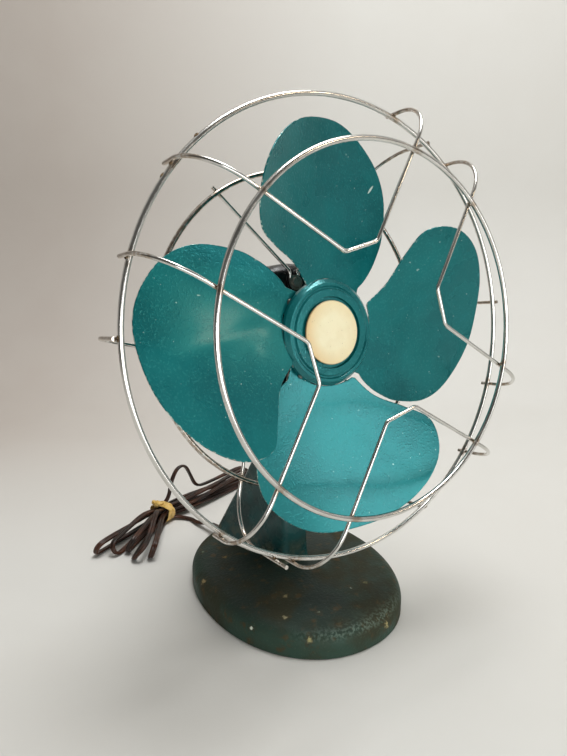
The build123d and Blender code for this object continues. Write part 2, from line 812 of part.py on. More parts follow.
washer_back = strut_back + strut_wire_radius + seat_gap
with BuildPart() as guard_washers:
    with BuildSketch(head.offset(washer_back)):
        with Locations(*guard_screw_places):
            Circle(washer_radius)
            Circle(guard_screw_radius + seat_gap, mode=Mode.SUBTRACT)
    extrude(amount=washer_thickness)
save(guard_washers, "guard_washers")

screw_seat = washer_back + washer_thickness
with BuildPart() as guard_screws:
    with BuildSketch(head.offset(screw_seat)):
        with Locations(*guard_screw_places):
            Circle(guard_screw_radius)
    extrude(amount=-(screw_seat - room_front + guard_boss_depth - guard_screw_short))
    with BuildSketch(head.offset(screw_seat)):
        with Locations(*guard_screw_places):
            Circle(guard_head_radius)
    extrude(amount=guard_head_height, taper=guard_head_taper)
    with BuildSketch(head.offset(screw_seat + guard_head_height)):
        with Locations(*guard_screw_places):
            Rectangle(2 * guard_head_radius, slot_width)
    extrude(amount=-slot_depth, mode=Mode.SUBTRACT)
save(guard_screws, "guard_screws")

# ---- rotor -------------------------------------------------------------------------------

print("rotor")
spider_boss_front = hub_floor - hub_sheet - seat_gap
shaft_front = spider_boss_front - shaft_short
bearing_front_end = motor_front - front_boss_depth
bearing_back_end = room_back + rear_boss_depth

with BuildPart() as shaft:
    with BuildSketch(head.offset(room_back + 1.0)):
        Circle(shaft_radius)
    extrude(amount=shaft_front - room_back - 1.0)
    chamfer(shaft.faces().sort_by(head_axis)[-1].edges(), shaft_chamfer)
save(shaft, "shaft")

with BuildPart() as rotor_core:
    with BuildSketch(head.offset(core_back)):
        Circle(rotor_radius)
        Circle(shaft_radius + press_gap, mode=Mode.SUBTRACT)
    extrude(amount=core_length)
save(rotor_core, "rotor_core")

with BuildPart() as rotor_rings:
    for start, height in ((core_front, ring_height), (core_back, -ring_height)):
        with BuildSketch(head.offset(start)):
            Circle(rotor_radius - 1)
            Circle(rotor_radius / 2, mode=Mode.SUBTRACT)
        extrude(amount=height)
save(rotor_rings, "rotor_rings")

with BuildPart() as thrust_collars:
    for start, stop in ((core_front, bearing_front_end - sheet_gap),
                        (core_back, bearing_back_end + sheet_gap)):
        with BuildSketch(head.offset(start)):
            Circle(collar_radius)
            Circle(shaft_radius + press_gap, mode=Mode.SUBTRACT)
        extrude(amount=stop - start)
save(thrust_collars, "thrust_collars")


def curved_sheet(plane, nearer, farther):
    """A bent sheet between two radii, its straight lines along the blade."""
    middle = plane.origin + plane.x_dir * blade_curve_across
    middle = middle + forward * (blade_curve_forward + blade_curve_radius)
    with BuildPart() as bent:
        with BuildSketch(Plane(origin=middle, x_dir=plane.x_dir, z_dir=plane.y_dir)):
            Circle(farther)
            Circle(nearer, mode=Mode.SUBTRACT)
            with Locations((0, -1.5 * farther)):
                Rectangle(3 * farther, 3 * farther, mode=Mode.SUBTRACT)
        extrude(amount=blade_reach)
    return bent.part


# The blade's plan: across, towards the leading edge, and out from the axis. It starts at the
# leading root and runs round the tip to the trailing root.
blade_outline = (
    (8.0, 27.0), (23.5, 41.8), (31.0, 54.5), (35.5, 70.0), (37.0, 88.0), (31.0, 117.0), (15.0, 137.0),
    (-11.0, 148.5), (-37.0, 148.5), (-67.0, 134.6), (-87.0, 115.0), (-98.4, 92.0), (-100.6, 68.0),
    (-91.5, 47.4), (-72.6, 41.8), (-48.6, 38.0), (-28.0, 26.6),
)
sheet_near = blade_curve_radius - blade_thickness / 2
sheet_far = blade_curve_radius + blade_thickness / 2
blade_planes = [turned_head(angle - 90) for angle in around(blade_count, blade_turn)]
tab_width = tab_outer - tab_inner
tab_middle = (tab_outer + tab_inner) / 2
tab_tip = hub_radius + 6.0

for number, plane in enumerate(blade_planes, 1):
    with BuildPart() as blade:
        with BuildSketch(plane.offset(-40)):
            with BuildLine():
                outline = Spline(*blade_outline)
                Line(outline @ 1, outline @ 0)
            make_face()
            Circle(hub_radius + sheet_gap, mode=Mode.SUBTRACT)
            with Locations((tab_middle, (tab_root + tab_tip) / 2)):
                Rectangle(tab_width, tab_tip - tab_root)
            with Locations(*[(rivet_across, out) for out in rivet_places]):
                Circle(rivet_radius + running_gap, mode=Mode.SUBTRACT)
        extrude(amount=90)
        add(curved_sheet(plane, sheet_near, sheet_far), mode=Mode.INTERSECT)
    save(blade, f"blade_{number}")



def spider_arm(plane):
    """The curved seat behind a blade's root."""
    with BuildPart() as arm:
        with BuildSketch(plane.offset(-40)):
            with Locations((tab_middle, tab_tip / 2 - 1)):
                Rectangle(tab_width, tab_tip - 6)
            with Locations(*[(rivet_across, out) for out in rivet_places]):
                Circle(rivet_radius + running_gap, mode=Mode.SUBTRACT)
        extrude(amount=60)
        add(curved_sheet(plane, sheet_far + seat_gap / 2, sheet_far + spider_thickness), mode=Mode.INTERSECT)
    return arm.part


with BuildPart() as blade_spider:
    with BuildSketch(head.offset(spider_boss_back)):
        Circle(spider_boss_radius)
    extrude(amount=spider_boss_front - spider_boss_back)
    with BuildSketch(head.offset(blade_curve_forward - spider_thickness - 1)):
        Circle(spider_disc_radius)
    extrude(amount=spider_thickness + 1)
    for plane in blade_planes:
        add(spider_arm(plane))
    with BuildSketch(head.offset(spider_boss_back)):
        Circle(shaft_radius + press_gap)
    extrude(amount=shaft_front - spider_boss_back, mode=Mode.SUBTRACT)
    with BuildSketch(head.offset(spider_boss_front)):
        Circle(guard_screw_radius)
    extrude(amount=-spider_bore_depth, mode=Mode.SUBTRACT)
save(blade_spider, "blade_spider")

rivet_seat = blade_curve_forward + (blade_curve_across - rivet_across) ** 2 / (2 * blade_curve_radius)
rivet_head_lift = blade_thickness / 2 + rivet_lift
with BuildPart() as blade_rivets:
    for plane in blade_planes:
        shank_back = rivet_seat - spider_thickness - rivet_head_lift
        shank_front = rivet_seat + rivet_head_lift
        with BuildSketch(plane.offset(shank_back)):
            with Locations(*[(rivet_across, out) for out in rivet_places]):
                Circle(rivet_radius)
        extrude(amount=shank_front - shank_back)
        with BuildSketch(plane.offset(shank_front)):
            with Locations(*[(rivet_across, out) for out in rivet_places]):
                Circle(rivet_head_radius)
        extrude(amount=rivet_head_height, taper=rivet_head_taper)
        with BuildSketch(plane.offset(shank_back)):
            with Locations(*[(rivet_across, out) for out in rivet_places]):
                Circle(rivet_head_radius)
        extrude(amount=-rivet_head_height, taper=rivet_head_taper)
save(blade_rivets, "blade_rivets")

rim_front = hub_land - rim_drop
groove_floor = rim_front - groove_slope
groove_inner = groove_radius - 0.4
groove_outer = groove_radius + groove_half
with BuildPart() as hub_cover:
    with BuildSketch(axial) as hub_profile:
        with BuildLine():
            Polyline(
                (0, hub_floor), (land_inner - groove_half, hub_floor), (land_inner, hub_land),
                (groove_inner - groove_slope, hub_land), (groove_inner, groove_floor),
                (groove_outer, groove_floor), (groove_outer + groove_slope, rim_front),
                (hub_radius - rim_round, rim_front), (hub_radius, rim_front - rim_round),
                (hub_radius, hub_skirt_back),
            )
            offset(amount=hub_sheet, side=Side.RIGHT, closed=True)
        make_face()
    revolve(axis=head_axis)
    with BuildSketch(head.offset(hub_floor)):
        Circle(guard_screw_radius + seat_gap)
    extrude(amount=-3, mode=Mode.SUBTRACT)
save(hub_cover, "hub_cover")

with BuildPart() as hub_disc:
    with BuildSketch(head.offset(disc_front - disc_thickness)):
        Circle(disc_radius)
    extrude(amount=disc_thickness)
    fillet(hub_disc.faces().sort_by(head_axis)[-1].edges(), disc_edge_radius)
    with BuildSketch(head.offset(disc_front - disc_thickness)):
        Circle(disc_foot[0])
        Circle(disc_foot[1], mode=Mode.SUBTRACT)
    extrude(amount=-(disc_front - disc_thickness - hub_floor - seat_gap))
save(hub_disc, "hub_disc")

with BuildPart() as hub_screw:
    with BuildSketch(head.offset(hub_floor + seat_gap)):
        Circle(hub_screw_head_radius)
    extrude(amount=hub_screw_head_height)
    with BuildSketch(head.offset(hub_floor + seat_gap)):
        Circle(guard_screw_radius - running_gap)
    extrude(amount=-hub_screw_grip)
save(hub_screw, "hub_screw")

# ---- lead --------------------------------------------------------------------------------

print("lead")
relief_back = -base_wall - relief_inside
with BuildPart() as cord_relief:
    with BuildSketch(relief_plane.offset(relief_back)):
        Circle(relief_hole_radius - seat_gap)
    extrude(amount=sheet_gap - relief_back)
    with BuildSketch(relief_plane.offset(sheet_gap)):
        Circle(relief_flange_radius)
    extrude(amount=relief_flange_height)
    with BuildSketch(relief_plane.offset(sheet_gap + relief_flange_height)):
        Circle(relief_hole_radius)
    with BuildSketch(relief_plane.offset(relief_length)):
        Circle(relief_tip_radius)
    loft()
save(cord_relief, "cord_relief")


def along(plane, distance):
    return plane.origin + plane.z_dir * distance


def tube(path, name):
    """A round tube along a path, with its volume compared with its length."""
    with BuildPart() as made:
        with BuildSketch(Plane(origin=path @ 0, z_dir=path % 0)):
            Circle(lead_radius)
        sweep(path=path)
    expected = path.length * pi * lead_radius ** 2
    print(f"{name}: length {path.length:.1f}, volume over section times length "
          f"{made.part.volume / expected:.4f}")
    save(made, name)


def route_line(route, name):
    """Straight runs joined by the largest arcs that they leave room for."""
    corners = [Vector(*point) for point in route]
    radii = []
    for before, corner, after in zip(corners, corners[1:], corners[2:]):
        turn = radians((corner - before).get_angle(after - corner))
        shorter = min((corner - before).length, (after - corner).length)
        radii.append(0.45 * shorter / tan(turn / 2))
    print(f"{name}: radii {[round(radius, 1) for radius in radii]}")
    with BuildLine() as path:
        FilletPolyline(*corners, radius=radii)
    return path.wire()


floor_height = table_z + lead_radius
cord_start = along(relief_plane, relief_length)
cord_route = (
    tuple(cord_start),
    tuple(along(relief_plane, relief_length + 11.0)),
    (-23.5, 146.0, 4.2),
    (-25.0, 155.2, floor_height),
    (-25.5, 164.2, floor_height),
)
cord_path = route_line(cord_route, "cord")
tube(cord_path, "cord")

# The hank: bottom strands run to the left loops and top strands run back, and each winding lies
# one strand further to the rear. At the tie the strands lie in two low and two high layers.
strand_step = lead_width + strand_gap
right_step = strand_step + 0.3


def heading(angle, rise=0.0):
    flat = cos(radians(rise))
    return Vector(cos(radians(angle)) * flat, sin(radians(angle)) * flat, sin(radians(rise)))


def beside(angle):
    return Vector(-sin(radians(angle)), cos(radians(angle)), 0)


def layer_height(layer):
    return table_z + tie_wall + tie_gap + lead_radius + layer * strand_step


def waist_place(winding, side, height):
    sideways = (winding - (loops - 1) / 2) * waist_step
    flat = tie_middle + heading(waist_heading) * side * tie_half + beside(waist_heading) * sideways
    return Vector(flat.X, flat.Y, height)


def left_place(winding, reach, height):
    start = waist_place(winding, -1, 0)
    flat = start + heading(left_headings[winding]) * (reach - tie_half)
    return Vector(flat.X, flat.Y, height)


def right_place(column, reach, height):
    sideways = (column - loops / 2 - 0.5) * right_step
    flat = tie_middle + heading(right_heading) * reach + beside(right_heading) * sideways
    return Vector(flat.X, flat.Y, height)


def biarc(start, start_way, end, end_way):
    """Two arcs, or a line, from one place and direction to another."""
    chord = end - start
    if chord.get_angle(start_way) < 0.01 and chord.get_angle(end_way) < 0.01:
        Line(start, end)
        return []
    ways = start_way + end_way
    spread = 2 * (1 - start_way.dot(end_way))
    if spread < 1e-6:
        reach = chord.dot(chord) / (4 * chord.dot(end_way))
    else:
        reach = (sqrt(chord.dot(ways) ** 2 + spread * chord.dot(chord)) - chord.dot(ways)) / spread
    joint = (start + end + (start_way - end_way) * reach) / 2
    first = TangentArc(start, joint, tangent=start_way)
    second = TangentArc(joint, end, tangent=first % 1)
    return [first.radius, second.radius]


right = heading(right_heading)
waist = heading(waist_heading)
places = []
for winding in range(loops):
    low = layer_height(winding % 2)
    high = layer_height(2 + winding % 2)
    left = heading(left_headings[winding])
    reach = left_reach[winding] - left_fold_radius - lead_radius
    if winding:
        places.append((right_place(winding, spread_reach, low), -right))
    places.append((waist_place(winding, 1, low), -waist))
    places.append((waist_place(winding, -1, low), -waist))
    places.append((left_place(winding, spread_reach, low), left))
    places.append((left_place(winding, reach, floor_height), left))
    places.append((left_place(winding, reach, floor_height + 2 * left_fold_radius), -left))
    places.append((left_place(winding, spread_reach, high), -left))
    places.append((waist_place(winding, -1, high), waist))
    places.append((waist_place(winding, 1, high), waist))
    if winding == arch_winding:
        places.append((right_place(winding + 1, 17.5, high + 14.0), heading(right_heading, 72)))
        places.append((right_place(winding + 1, 33.0, arch_height), right))
        places.append((right_place(winding + 1, 50.0, high + 12.0), heading(right_heading, -60)))
        places.append((right_place(winding + 1, 66.0, high), right))
    else:
        places.append((right_place(winding + 1, spread_reach, high), right))
    if winding + 1 < loops:
        reach = right_reach[winding + 1] - right_fold_radius - lead_radius
        places.append((right_place(winding + 1, reach, floor_height + 2 * right_fold_radius), right))
        places.append((right_place(winding + 1, reach, floor_height), -right))
places.append((right_place(loops, tail_reach, floor_height), right))

hank_start = cord_path @ 1
hank_way = cord_path % 1
entry = hank_start + hank_way * entry_length
exit_end = right_place(loops, tail_reach + entry_length, floor_height)
hank_radii = []
with BuildLine() as hank_path:
    Line(hank_start, entry)
    place_before, way_before = entry, hank_way
    for place, way in places:
        hank_radii += biarc(place_before, way_before, place, way)
        place_before, way_before = place, way
    Line(place_before, exit_end)
hank_line = hank_path.wire()
print(f"hank: {len(hank_radii)} arcs, tightest {min(hank_radii):.1f}")


def least_gap(line, spacing=1.5):
    """The least space between stretches of the tube that lie more than a fold apart."""
    count = int(line.length / spacing)
    spots = [line.position_at(number / count) for number in range(count + 1)]
    skip = int(12 / spacing)
    nearest = min(
        (spots[first] - spots[second]).length
        for first in range(0, count + 1)
        for second in range(first + skip, count + 1)
    )
    return nearest - lead_width


print(f"hank: least gap to itself {least_gap(hank_line):.2f}")
tube(hank_line, "cord_hank")

tie_high = layer_height(3) + lead_radius + tie_gap
tie_inner_width = (loops - 1) * waist_step + lead_width + 2 * tie_gap
tie_inner_height = tie_high - (table_z + tie_wall)
tie_plane = Plane(origin=tie_middle + Vector(0, 0, table_z + tie_wall + tie_inner_height / 2),
                  x_dir=beside(waist_heading), z_dir=-waist)
tie_length = 2 * tie_half - 3.0
with BuildPart() as hank_tie:
    with BuildSketch(tie_plane.offset(-tie_length / 2)):
        RectangleRounded(tie_inner_width + 2 * (tie_wall - 0.2), tie_inner_height + 2 * (tie_wall - 0.2), 4.4)
        RectangleRounded(tie_inner_width, tie_inner_height, 2.9, mode=Mode.SUBTRACT)
    extrude(amount=tie_length)
    with Locations(tie_middle + Vector(0, 0, tie_high + tie_wall + knot_radius - knot_sink)):
        Sphere(knot_radius)
save(hank_tie, "hank_tie")

tail_route = (
    tuple(exit_end),
    tuple(exit_end + right * 14.0),
    (90.0, 242.6, 3.6),
    (103.0, 240.5, 6.0),
    (114.0, 235.5, plug_height / 2),
    (124.0, 229.5, plug_height / 2),
)
tail_path = route_line(tail_route, "cord_tail")
tube(tail_path, "cord_tail")

plug_way = Vector(tail_path % 1)
plug_face = Plane(origin=tail_path @ 1, x_dir=(-plug_way.Y, plug_way.X, 0), z_dir=plug_way)
with BuildPart() as plug_body:
    with BuildSketch(plug_face) as cord_end:
        Circle(lead_radius + 1.6)
    with BuildSketch(plug_face.offset(plug_length)) as pin_end:
        RectangleRounded(plug_width, plug_height, plug_height / 2 - 0.5)
    loft()
    fillet(plug_body.faces().sort_by(Axis(plug_face.origin, plug_way))[-1].edges(), plug_edge)
    with BuildSketch(plug_face.offset(plug_length)):
        with Locations((-pin_apart / 2, 0), (pin_apart / 2, 0)):
            Rectangle(pin_thickness + 2 * seat_gap, pin_width + 2 * seat_gap)
    extrude(amount=-pin_seat, mode=Mode.SUBTRACT)
save(plug_body, "plug_body")

with BuildPart() as plug_pins:
    with BuildSketch(plug_face.offset(plug_length - pin_seat + seat_gap)):
        with Locations((-pin_apart / 2, 0), (pin_apart / 2, 0)):
            Rectangle(pin_thickness, pin_width)
    extrude(amount=pin_length + pin_seat)
    chamfer(plug_pins.faces().sort_by(Axis(plug_face.origin, plug_way))[-2:].edges(), pin_edge)
save(plug_pins, "plug_pins")
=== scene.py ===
import math

import bpy
from mathutils import Matrix, Vector, geometry, noise


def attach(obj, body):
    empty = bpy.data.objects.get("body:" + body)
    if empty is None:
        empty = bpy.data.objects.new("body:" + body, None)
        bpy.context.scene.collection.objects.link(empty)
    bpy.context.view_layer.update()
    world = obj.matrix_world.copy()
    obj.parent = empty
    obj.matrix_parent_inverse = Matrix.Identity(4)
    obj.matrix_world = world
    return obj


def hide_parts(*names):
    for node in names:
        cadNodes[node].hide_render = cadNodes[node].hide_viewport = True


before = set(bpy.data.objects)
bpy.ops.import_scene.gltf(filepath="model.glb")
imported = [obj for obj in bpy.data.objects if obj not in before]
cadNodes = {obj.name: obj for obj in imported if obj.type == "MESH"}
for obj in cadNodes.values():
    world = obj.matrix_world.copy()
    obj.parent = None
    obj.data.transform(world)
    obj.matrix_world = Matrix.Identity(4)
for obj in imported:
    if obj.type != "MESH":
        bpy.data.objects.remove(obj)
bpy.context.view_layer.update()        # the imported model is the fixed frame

mm = 0.001
fullTurn = 2 * math.pi

# the tilted head: its axis points forward and a little up, and every ring is centred on it
headTilt = math.radians(7.67)
headForward = Vector((0, -math.cos(headTilt), math.sin(headTilt)))
headUp = Vector((0, math.sin(headTilt), math.cos(headTilt)))
headCentre = Vector((0, -66.6, 240.4)) * mm


def linear(hexText):  # an sRGB hex colour as linear red, green, blue and alpha
    parts = [int(hexText[i:i + 2], 16) / 255 for i in (1, 3, 5)]
    return tuple(p / 12.92 if p <= 0.04045 else ((p + 0.055) / 1.055) ** 2.4 for p in parts) + (1.0,)


def addNode(tree, kind, inputs=None, **settings):  # a socket among the inputs is linked, a value is set
    node = tree.nodes.new(kind)
    for name, value in settings.items():
        setattr(node, name, value)
    for name, value in (inputs or {}).items():
        if isinstance(value, bpy.types.NodeSocket):
            tree.links.new(value, node.inputs[name])
        else:
            node.inputs[name].default_value = value
    return node


def headPoint(sideways, upwards, ahead):  # millimetres in the tilted head, as a place in metres
    return headCentre + (Vector((1, 0, 0)) * sideways + headUp * upwards + headForward * ahead) * mm


def meshPiece(name, points, faces, smooth=True):
    mesh = bpy.data.meshes.new(name)
    mesh.from_pydata([tuple(p) for p in points], [], faces)
    mesh.validate()
    for polygon in mesh.polygons:
        polygon.use_smooth = smooth
    piece = bpy.data.objects.new(name, mesh)
    bpy.context.scene.collection.objects.link(piece)
    return piece


def pointValues(piece, name, values):  # a number for each point of a mesh, for its material to read
    layer = piece.data.attributes.new(name, "FLOAT", "POINT")
    layer.data.foreach_set("value", values)


def plainMesh(piece):  # the piece with its modifiers worked in
    graph = bpy.context.evaluated_depsgraph_get()
    mesh = bpy.data.meshes.new_from_object(piece.evaluated_get(graph), depsgraph=graph)
    piece.modifiers.clear()
    piece.data = mesh
    return piece


# the photograph's viewpoint, in metres
camera = {"place": (-0.2737, -0.4053, 0.3131), "forward": (0.530, 0.8137, -0.239),
          "right": (0.8379, -0.5458, 0.0), "lens": 28.70}
print("camera")
lookForward = Vector(camera["forward"]).normalized()
lookRight = Vector(camera["right"]).normalized()
lookUp = lookRight.cross(lookForward)
cameraLens = bpy.data.cameras.new("photoCamera")
cameraLens.lens = camera["lens"]
cameraLens.sensor_width = 36
cameraLens.clip_start = 0.01
photoCamera = bpy.data.objects.new("photoCamera", cameraLens)
photoCamera.matrix_world = Matrix.Translation(camera["place"]) @ Matrix(
    (lookRight, lookUp, -lookForward)).transposed().to_4x4()
bpy.context.scene.collection.objects.link(photoCamera)
bpy.context.scene.camera = photoCamera

# the lead, in millimetres and degrees: its line goes through the part's own places
lead = {"width": 5.5, "lobe": 1.4, "lobeMiddle": 1.35, "web": 0.85, "floor": 1.8, "wobble": 30.0,
        "layerBottom": 3.6, "layerStep": 4.0, "foldTop": (18.5, 15.0, 17.5, 15.0, 15.0),
        "foldShift": (3.0, 5.5, 4.0, -2.5, 3.0), "hump": (5.0, 12.0, 7.0, 5.0, 2.0),
        "leftFold": (20.0, 3.0, 3.0, 22.0), "rightFold": (23.0, 3.0, 3.0, 23.0), "rightTop": 17.0,
        "rightDrift": (0.0, -3.0, 3.5, -2.0, 2.5, 0.0), "turnWindow": 14, "wobbleGrain": 22.0, "splineSteps": 11}
hank = {"loops": 5, "tie": Vector((-52.0, 180.0, 0)), "tieHalf": 8.0, "waistStep": 3.25,
        "waistHeading": 32.0, "rightHeading": 20.0, "leftHeadings": (240.0, 232.0, 224.0, 216.0, 208.0),
        "leftReach": (86.0, 90.0, 79.0, 87.0, 95.0), "rightReach": (0.0, 139.0, 145.0, 142.0, 147.0),
        "spreadReach": 38.0, "rightStep": 5.2, "tailReach": 127.5, "archWinding": 3,
        "arch": ((13, 23.6), (17, 40.0), (27, 53.0), (40, 52.0), (48, 37.6), (57, 19.6), (74, 15.6))}


def heading(angle):
    return Vector((math.cos(math.radians(angle)), math.sin(math.radians(angle)), 0))


def beside(angle):
    return Vector((-math.sin(math.radians(angle)), math.cos(math.radians(angle)), 0))


def layerHeight(layer):
    return lead["layerBottom"] + layer * lead["layerStep"]


def lifted(flat, height):
    return Vector((flat.x, flat.y, height))


def waistPlace(winding, side, height):
    sideways = (winding - (hank["loops"] - 1) / 2) * hank["waistStep"]
    flat = hank["tie"] + heading(hank["waistHeading"]) * side * hank["tieHalf"]
    return lifted(flat + beside(hank["waistHeading"]) * sideways, height)


def leftPlace(winding, reach, height, shift=0.0):
    way = heading(hank["leftHeadings"][winding])
    flat = waistPlace(winding, -1, 0) + way * (reach - hank["tieHalf"])
    return lifted(flat + beside(hank["leftHeadings"][winding]) * shift, height)


def rightPlace(column, reach, height):
    drift = lead["rightDrift"][column] * math.sin(reach / 24 + column)  # the strands wander between the folds
    sideways = (column - hank["loops"] / 2 - 0.5) * hank["rightStep"] + drift
    flat = hank["tie"] + heading(hank["rightHeading"]) * reach
    return lifted(flat + beside(hank["rightHeading"]) * sideways, height)


print("lead")
floor = lead["floor"]
route = [Vector(p) for p in ((-18.60, 123.98, 8.0), (-20.59, 134.80, 8.0), (-23.5, 146.0, 3.6),
                             (-25.0, 155.2, floor), (-25.5, 164.2, floor))]
for winding in range(hank["loops"]):
    low, high = layerHeight(winding % 2), layerHeight(2 + winding % 2)
    reach = hank["leftReach"][winding]
    if winding:
        route.append(rightPlace(winding, hank["spreadReach"], low))
    route += [waistPlace(winding, 1, low), waistPlace(winding, -1, low)]
    top, shift = lead["foldTop"][winding], lead["foldShift"][winding]
    route.append(leftPlace(winding, hank["spreadReach"], (low + floor) / 2, -shift / 2))
    for back, height, aside in zip(lead["leftFold"], (floor, floor, top * 0.95, top),
                                   (-shift, -shift, shift, shift)):
        route.append(leftPlace(winding, reach - back, height, aside))
    route.append(leftPlace(winding, hank["spreadReach"] - 8, high + lead["hump"][winding], shift / 2))
    route += [waistPlace(winding, -1, high), waistPlace(winding, 1, high)]
    if winding == hank["archWinding"]:  # one loose turn stands up past the tie
        route += [rightPlace(winding + 1, ahead, height) for ahead, height in hank["arch"]]
    else:
        route.append(rightPlace(winding + 1, hank["spreadReach"], high))
    if winding + 1 < hank["loops"]:
        reach = hank["rightReach"][winding + 1]
        for back, height in zip(lead["rightFold"], (lead["rightTop"], lead["rightTop"], floor, floor)):
            route.append(rightPlace(winding + 1, reach - back, height))
route.append(rightPlace(hank["loops"], hank["tailReach"] - 6, floor))
route += [Vector(p) for p in ((63.43, 235.64, 2.4), (76.59, 240.42, 2.75), (90.0, 242.6, 3.6),
                              (103.0, 240.5, 6.0), (114.0, 235.5, 7.0), (124.0, 229.5, 7.0))]


def smoothLine(points, steps):  # the places along a smooth spline that has these as its control points
    curve = bpy.data.curves.new("leadLine", "CURVE")
    curve.dimensions = "3D"
    spline = curve.splines.new("NURBS")
    spline.points.add(len(points) - 1)
    for corner, place in zip(spline.points, points):
        corner.co = (*(place * mm), 1)
    spline.order_u = 3
    spline.use_endpoint_u = True
    spline.resolution_u = steps
    holder = bpy.data.objects.new("leadLine", curve)
    mesh = bpy.data.meshes.new_from_object(holder)
    line = [v.co.copy() for v in mesh.vertices]
    bpy.data.objects.remove(holder)
    bpy.data.curves.remove(curve)
    bpy.data.meshes.remove(mesh)
    return line


def flatNormals(line, wobble):  # the flat side's direction at each place, mostly up, turning slowly
    ways = [(line[min(i + 1, len(line) - 1)] - line[max(i - 1, 0)]).normalized() for i in range(len(line))]
    carried, normal = [], Vector((0, 0, 1))
    for way in ways:
        normal = (normal - way * normal.dot(way)).normalized()
        carried.append(normal)
    turns, weights, last = [], [], 0.0
    for way, normal in zip(ways, carried):
        level = Vector((0, 0, 1)) - way * way.z
        side = way.cross(normal)
        turn = math.atan2(level.dot(side), level.dot(normal))
        turn += math.pi * round((last - turn) / math.pi)  # the two flat sides are alike
        weight = level.length ** 4
        if weight > 0.2:
            last = turn
        turns.append(turn)
        weights.append(weight + 0.001)
    normals, window = [], lead["turnWindow"]
    for i, (way, normal) in enumerate(zip(ways, carried)):
        near = range(max(0, i - window), min(len(line), i + window + 1))
        total = sum(weights[j] for j in near)
        turn = sum(turns[j] * weights[j] for j in near) / total
        drift = noise.noise(line[i] * lead["wobbleGrain"] + Vector((i * 0.004, 0, 0)))
        turn += math.radians(wobble) * drift * 1.6
        normals.append((normal * math.cos(turn) + way.cross(normal) * math.sin(turn)).normalized())
    return ways, normals


leadLine = smoothLine(route, lead["splineSteps"])
leadWays, leadNormals = flatNormals(leadLine, lead["wobble"])
profile = []  # across, through, and 1 on the ridges or 0 in the groove between the two cores
for degrees in range(-120, 121, 30):
    angle = math.radians(degrees)
    profile.append((lead["lobe"] * math.cos(angle) + lead["lobeMiddle"], lead["lobe"] * math.sin(angle), 1.0))
profile.append((0.0, lead["web"], 0.0))
for degrees in range(60, 301, 30):
    angle = math.radians(degrees)
    profile.append((lead["lobe"] * math.cos(angle) - lead["lobeMiddle"], lead["lobe"] * math.sin(angle), 1.0))
profile.append((0.0, -lead["web"], 0.0))
leadPoints, leadFaces, ridge, along, distance = [], [], [], [], 0.0
for i, (place, way, normal) in enumerate(zip(leadLine, leadWays, leadNormals)):
    distance += (place - leadLine[i - 1]).length if i else 0.0
    side = way.cross(normal)
    rung = [place + (side * across + normal * through) * mm for across, through, onRidge in profile]
    lift = max(0.0, 0.00005 - min(p.z for p in rung))  # a tilted stretch still lies on the floor
    leadPoints += [p + Vector((0, 0, lift)) for p in rung]
    ridge += [onRidge for across, through, onRidge in profile]
    along += [distance] * len(profile)
rim = len(profile)
for i in range(len(leadLine) - 1):
    for j in range(rim):
        k = (j + 1) % rim
        leadFaces.append((i * rim + j, i * rim + k, (i + 1) * rim + k, (i + 1) * rim + j))
leadFaces.append(tuple(reversed(range(rim))))
leadFaces.append(tuple(range((len(leadLine) - 1) * rim, len(leadLine) * rim)))
mainsLead = meshPiece("mains_lead", leadPoints, leadFaces)
pointValues(mainsLead, "ridge", ridge)
pointValues(mainsLead, "along", along)
print("lead length", round(distance, 3))

# the twisted tape that ties the hank, in millimetres, and the three lumps of its knot
tape = {"halfWidth": 11.0, "bottom": 2.7, "top": 18.4, "bandWidth": 8.6, "thickness": 1.0,
        "swings": ((4.2, 15.0, 0.0), (-3.4, 40.0, 0.5)), "turnSteps": 72, "widthSteps": 7, "boxPower": 0.62,
        "knot": (-3.5, 3.5, 2.2),
        "lumps": (((0, 0, 0), (4.6, 4.2, 3.4), 1.0), ((-3.0, 2.6, 1.6), (2.6, 2.0, 2.6), 5.0),
                  ((3.4, -2.2, 0.4), (3.4, 1.9, 1.8), 9.0))}


def tapeBand(swing, phase, lift):  # a closed band round the waist, a box with round corners that leans
    points = []
    run, out = heading(hank["waistHeading"]), beside(hank["waistHeading"])
    middleZ = (tape["bottom"] + tape["top"]) / 2
    halfHeight = (tape["top"] - tape["bottom"]) / 2
    for i in range(tape["turnSteps"]):
        angle = fullTurn * i / tape["turnSteps"]
        cosine, sine = math.cos(angle), math.sin(angle)
        across = math.copysign(abs(cosine) ** tape["boxPower"], cosine) * (tape["halfWidth"] + lift)
        height = math.copysign(abs(sine) ** tape["boxPower"], sine) * (halfHeight + lift) + middleZ
        outward = (out * cosine + Vector((0, 0, sine))).normalized()
        lean = swing * math.sin(angle + math.radians(phase))
        for j in range(tape["widthSteps"]):
            share = j / (tape["widthSteps"] - 1) - 0.5
            fold = 0.45 * noise.noise(Vector((angle * 2.2, share * 2.5, swing))) \
                + 0.35 * math.cos(share * 9 + 3 * math.sin(angle * 2 + phase))
            width = tape["bandWidth"] * (0.86 + 0.22 * noise.noise(Vector((angle * 1.3, swing, 4.0))))
            place = hank["tie"] + out * across + Vector((0, 0, height)) + run * (lean + share * width)
            points.append((place + outward * fold) * mm)
    faces = []
    for i in range(tape["turnSteps"]):
        k = (i + 1) % tape["turnSteps"]
        for j in range(tape["widthSteps"] - 1):
            a, b = i * tape["widthSteps"] + j, k * tape["widthSteps"] + j
            faces.append((a, b, b + 1, a + 1))
    return points, faces


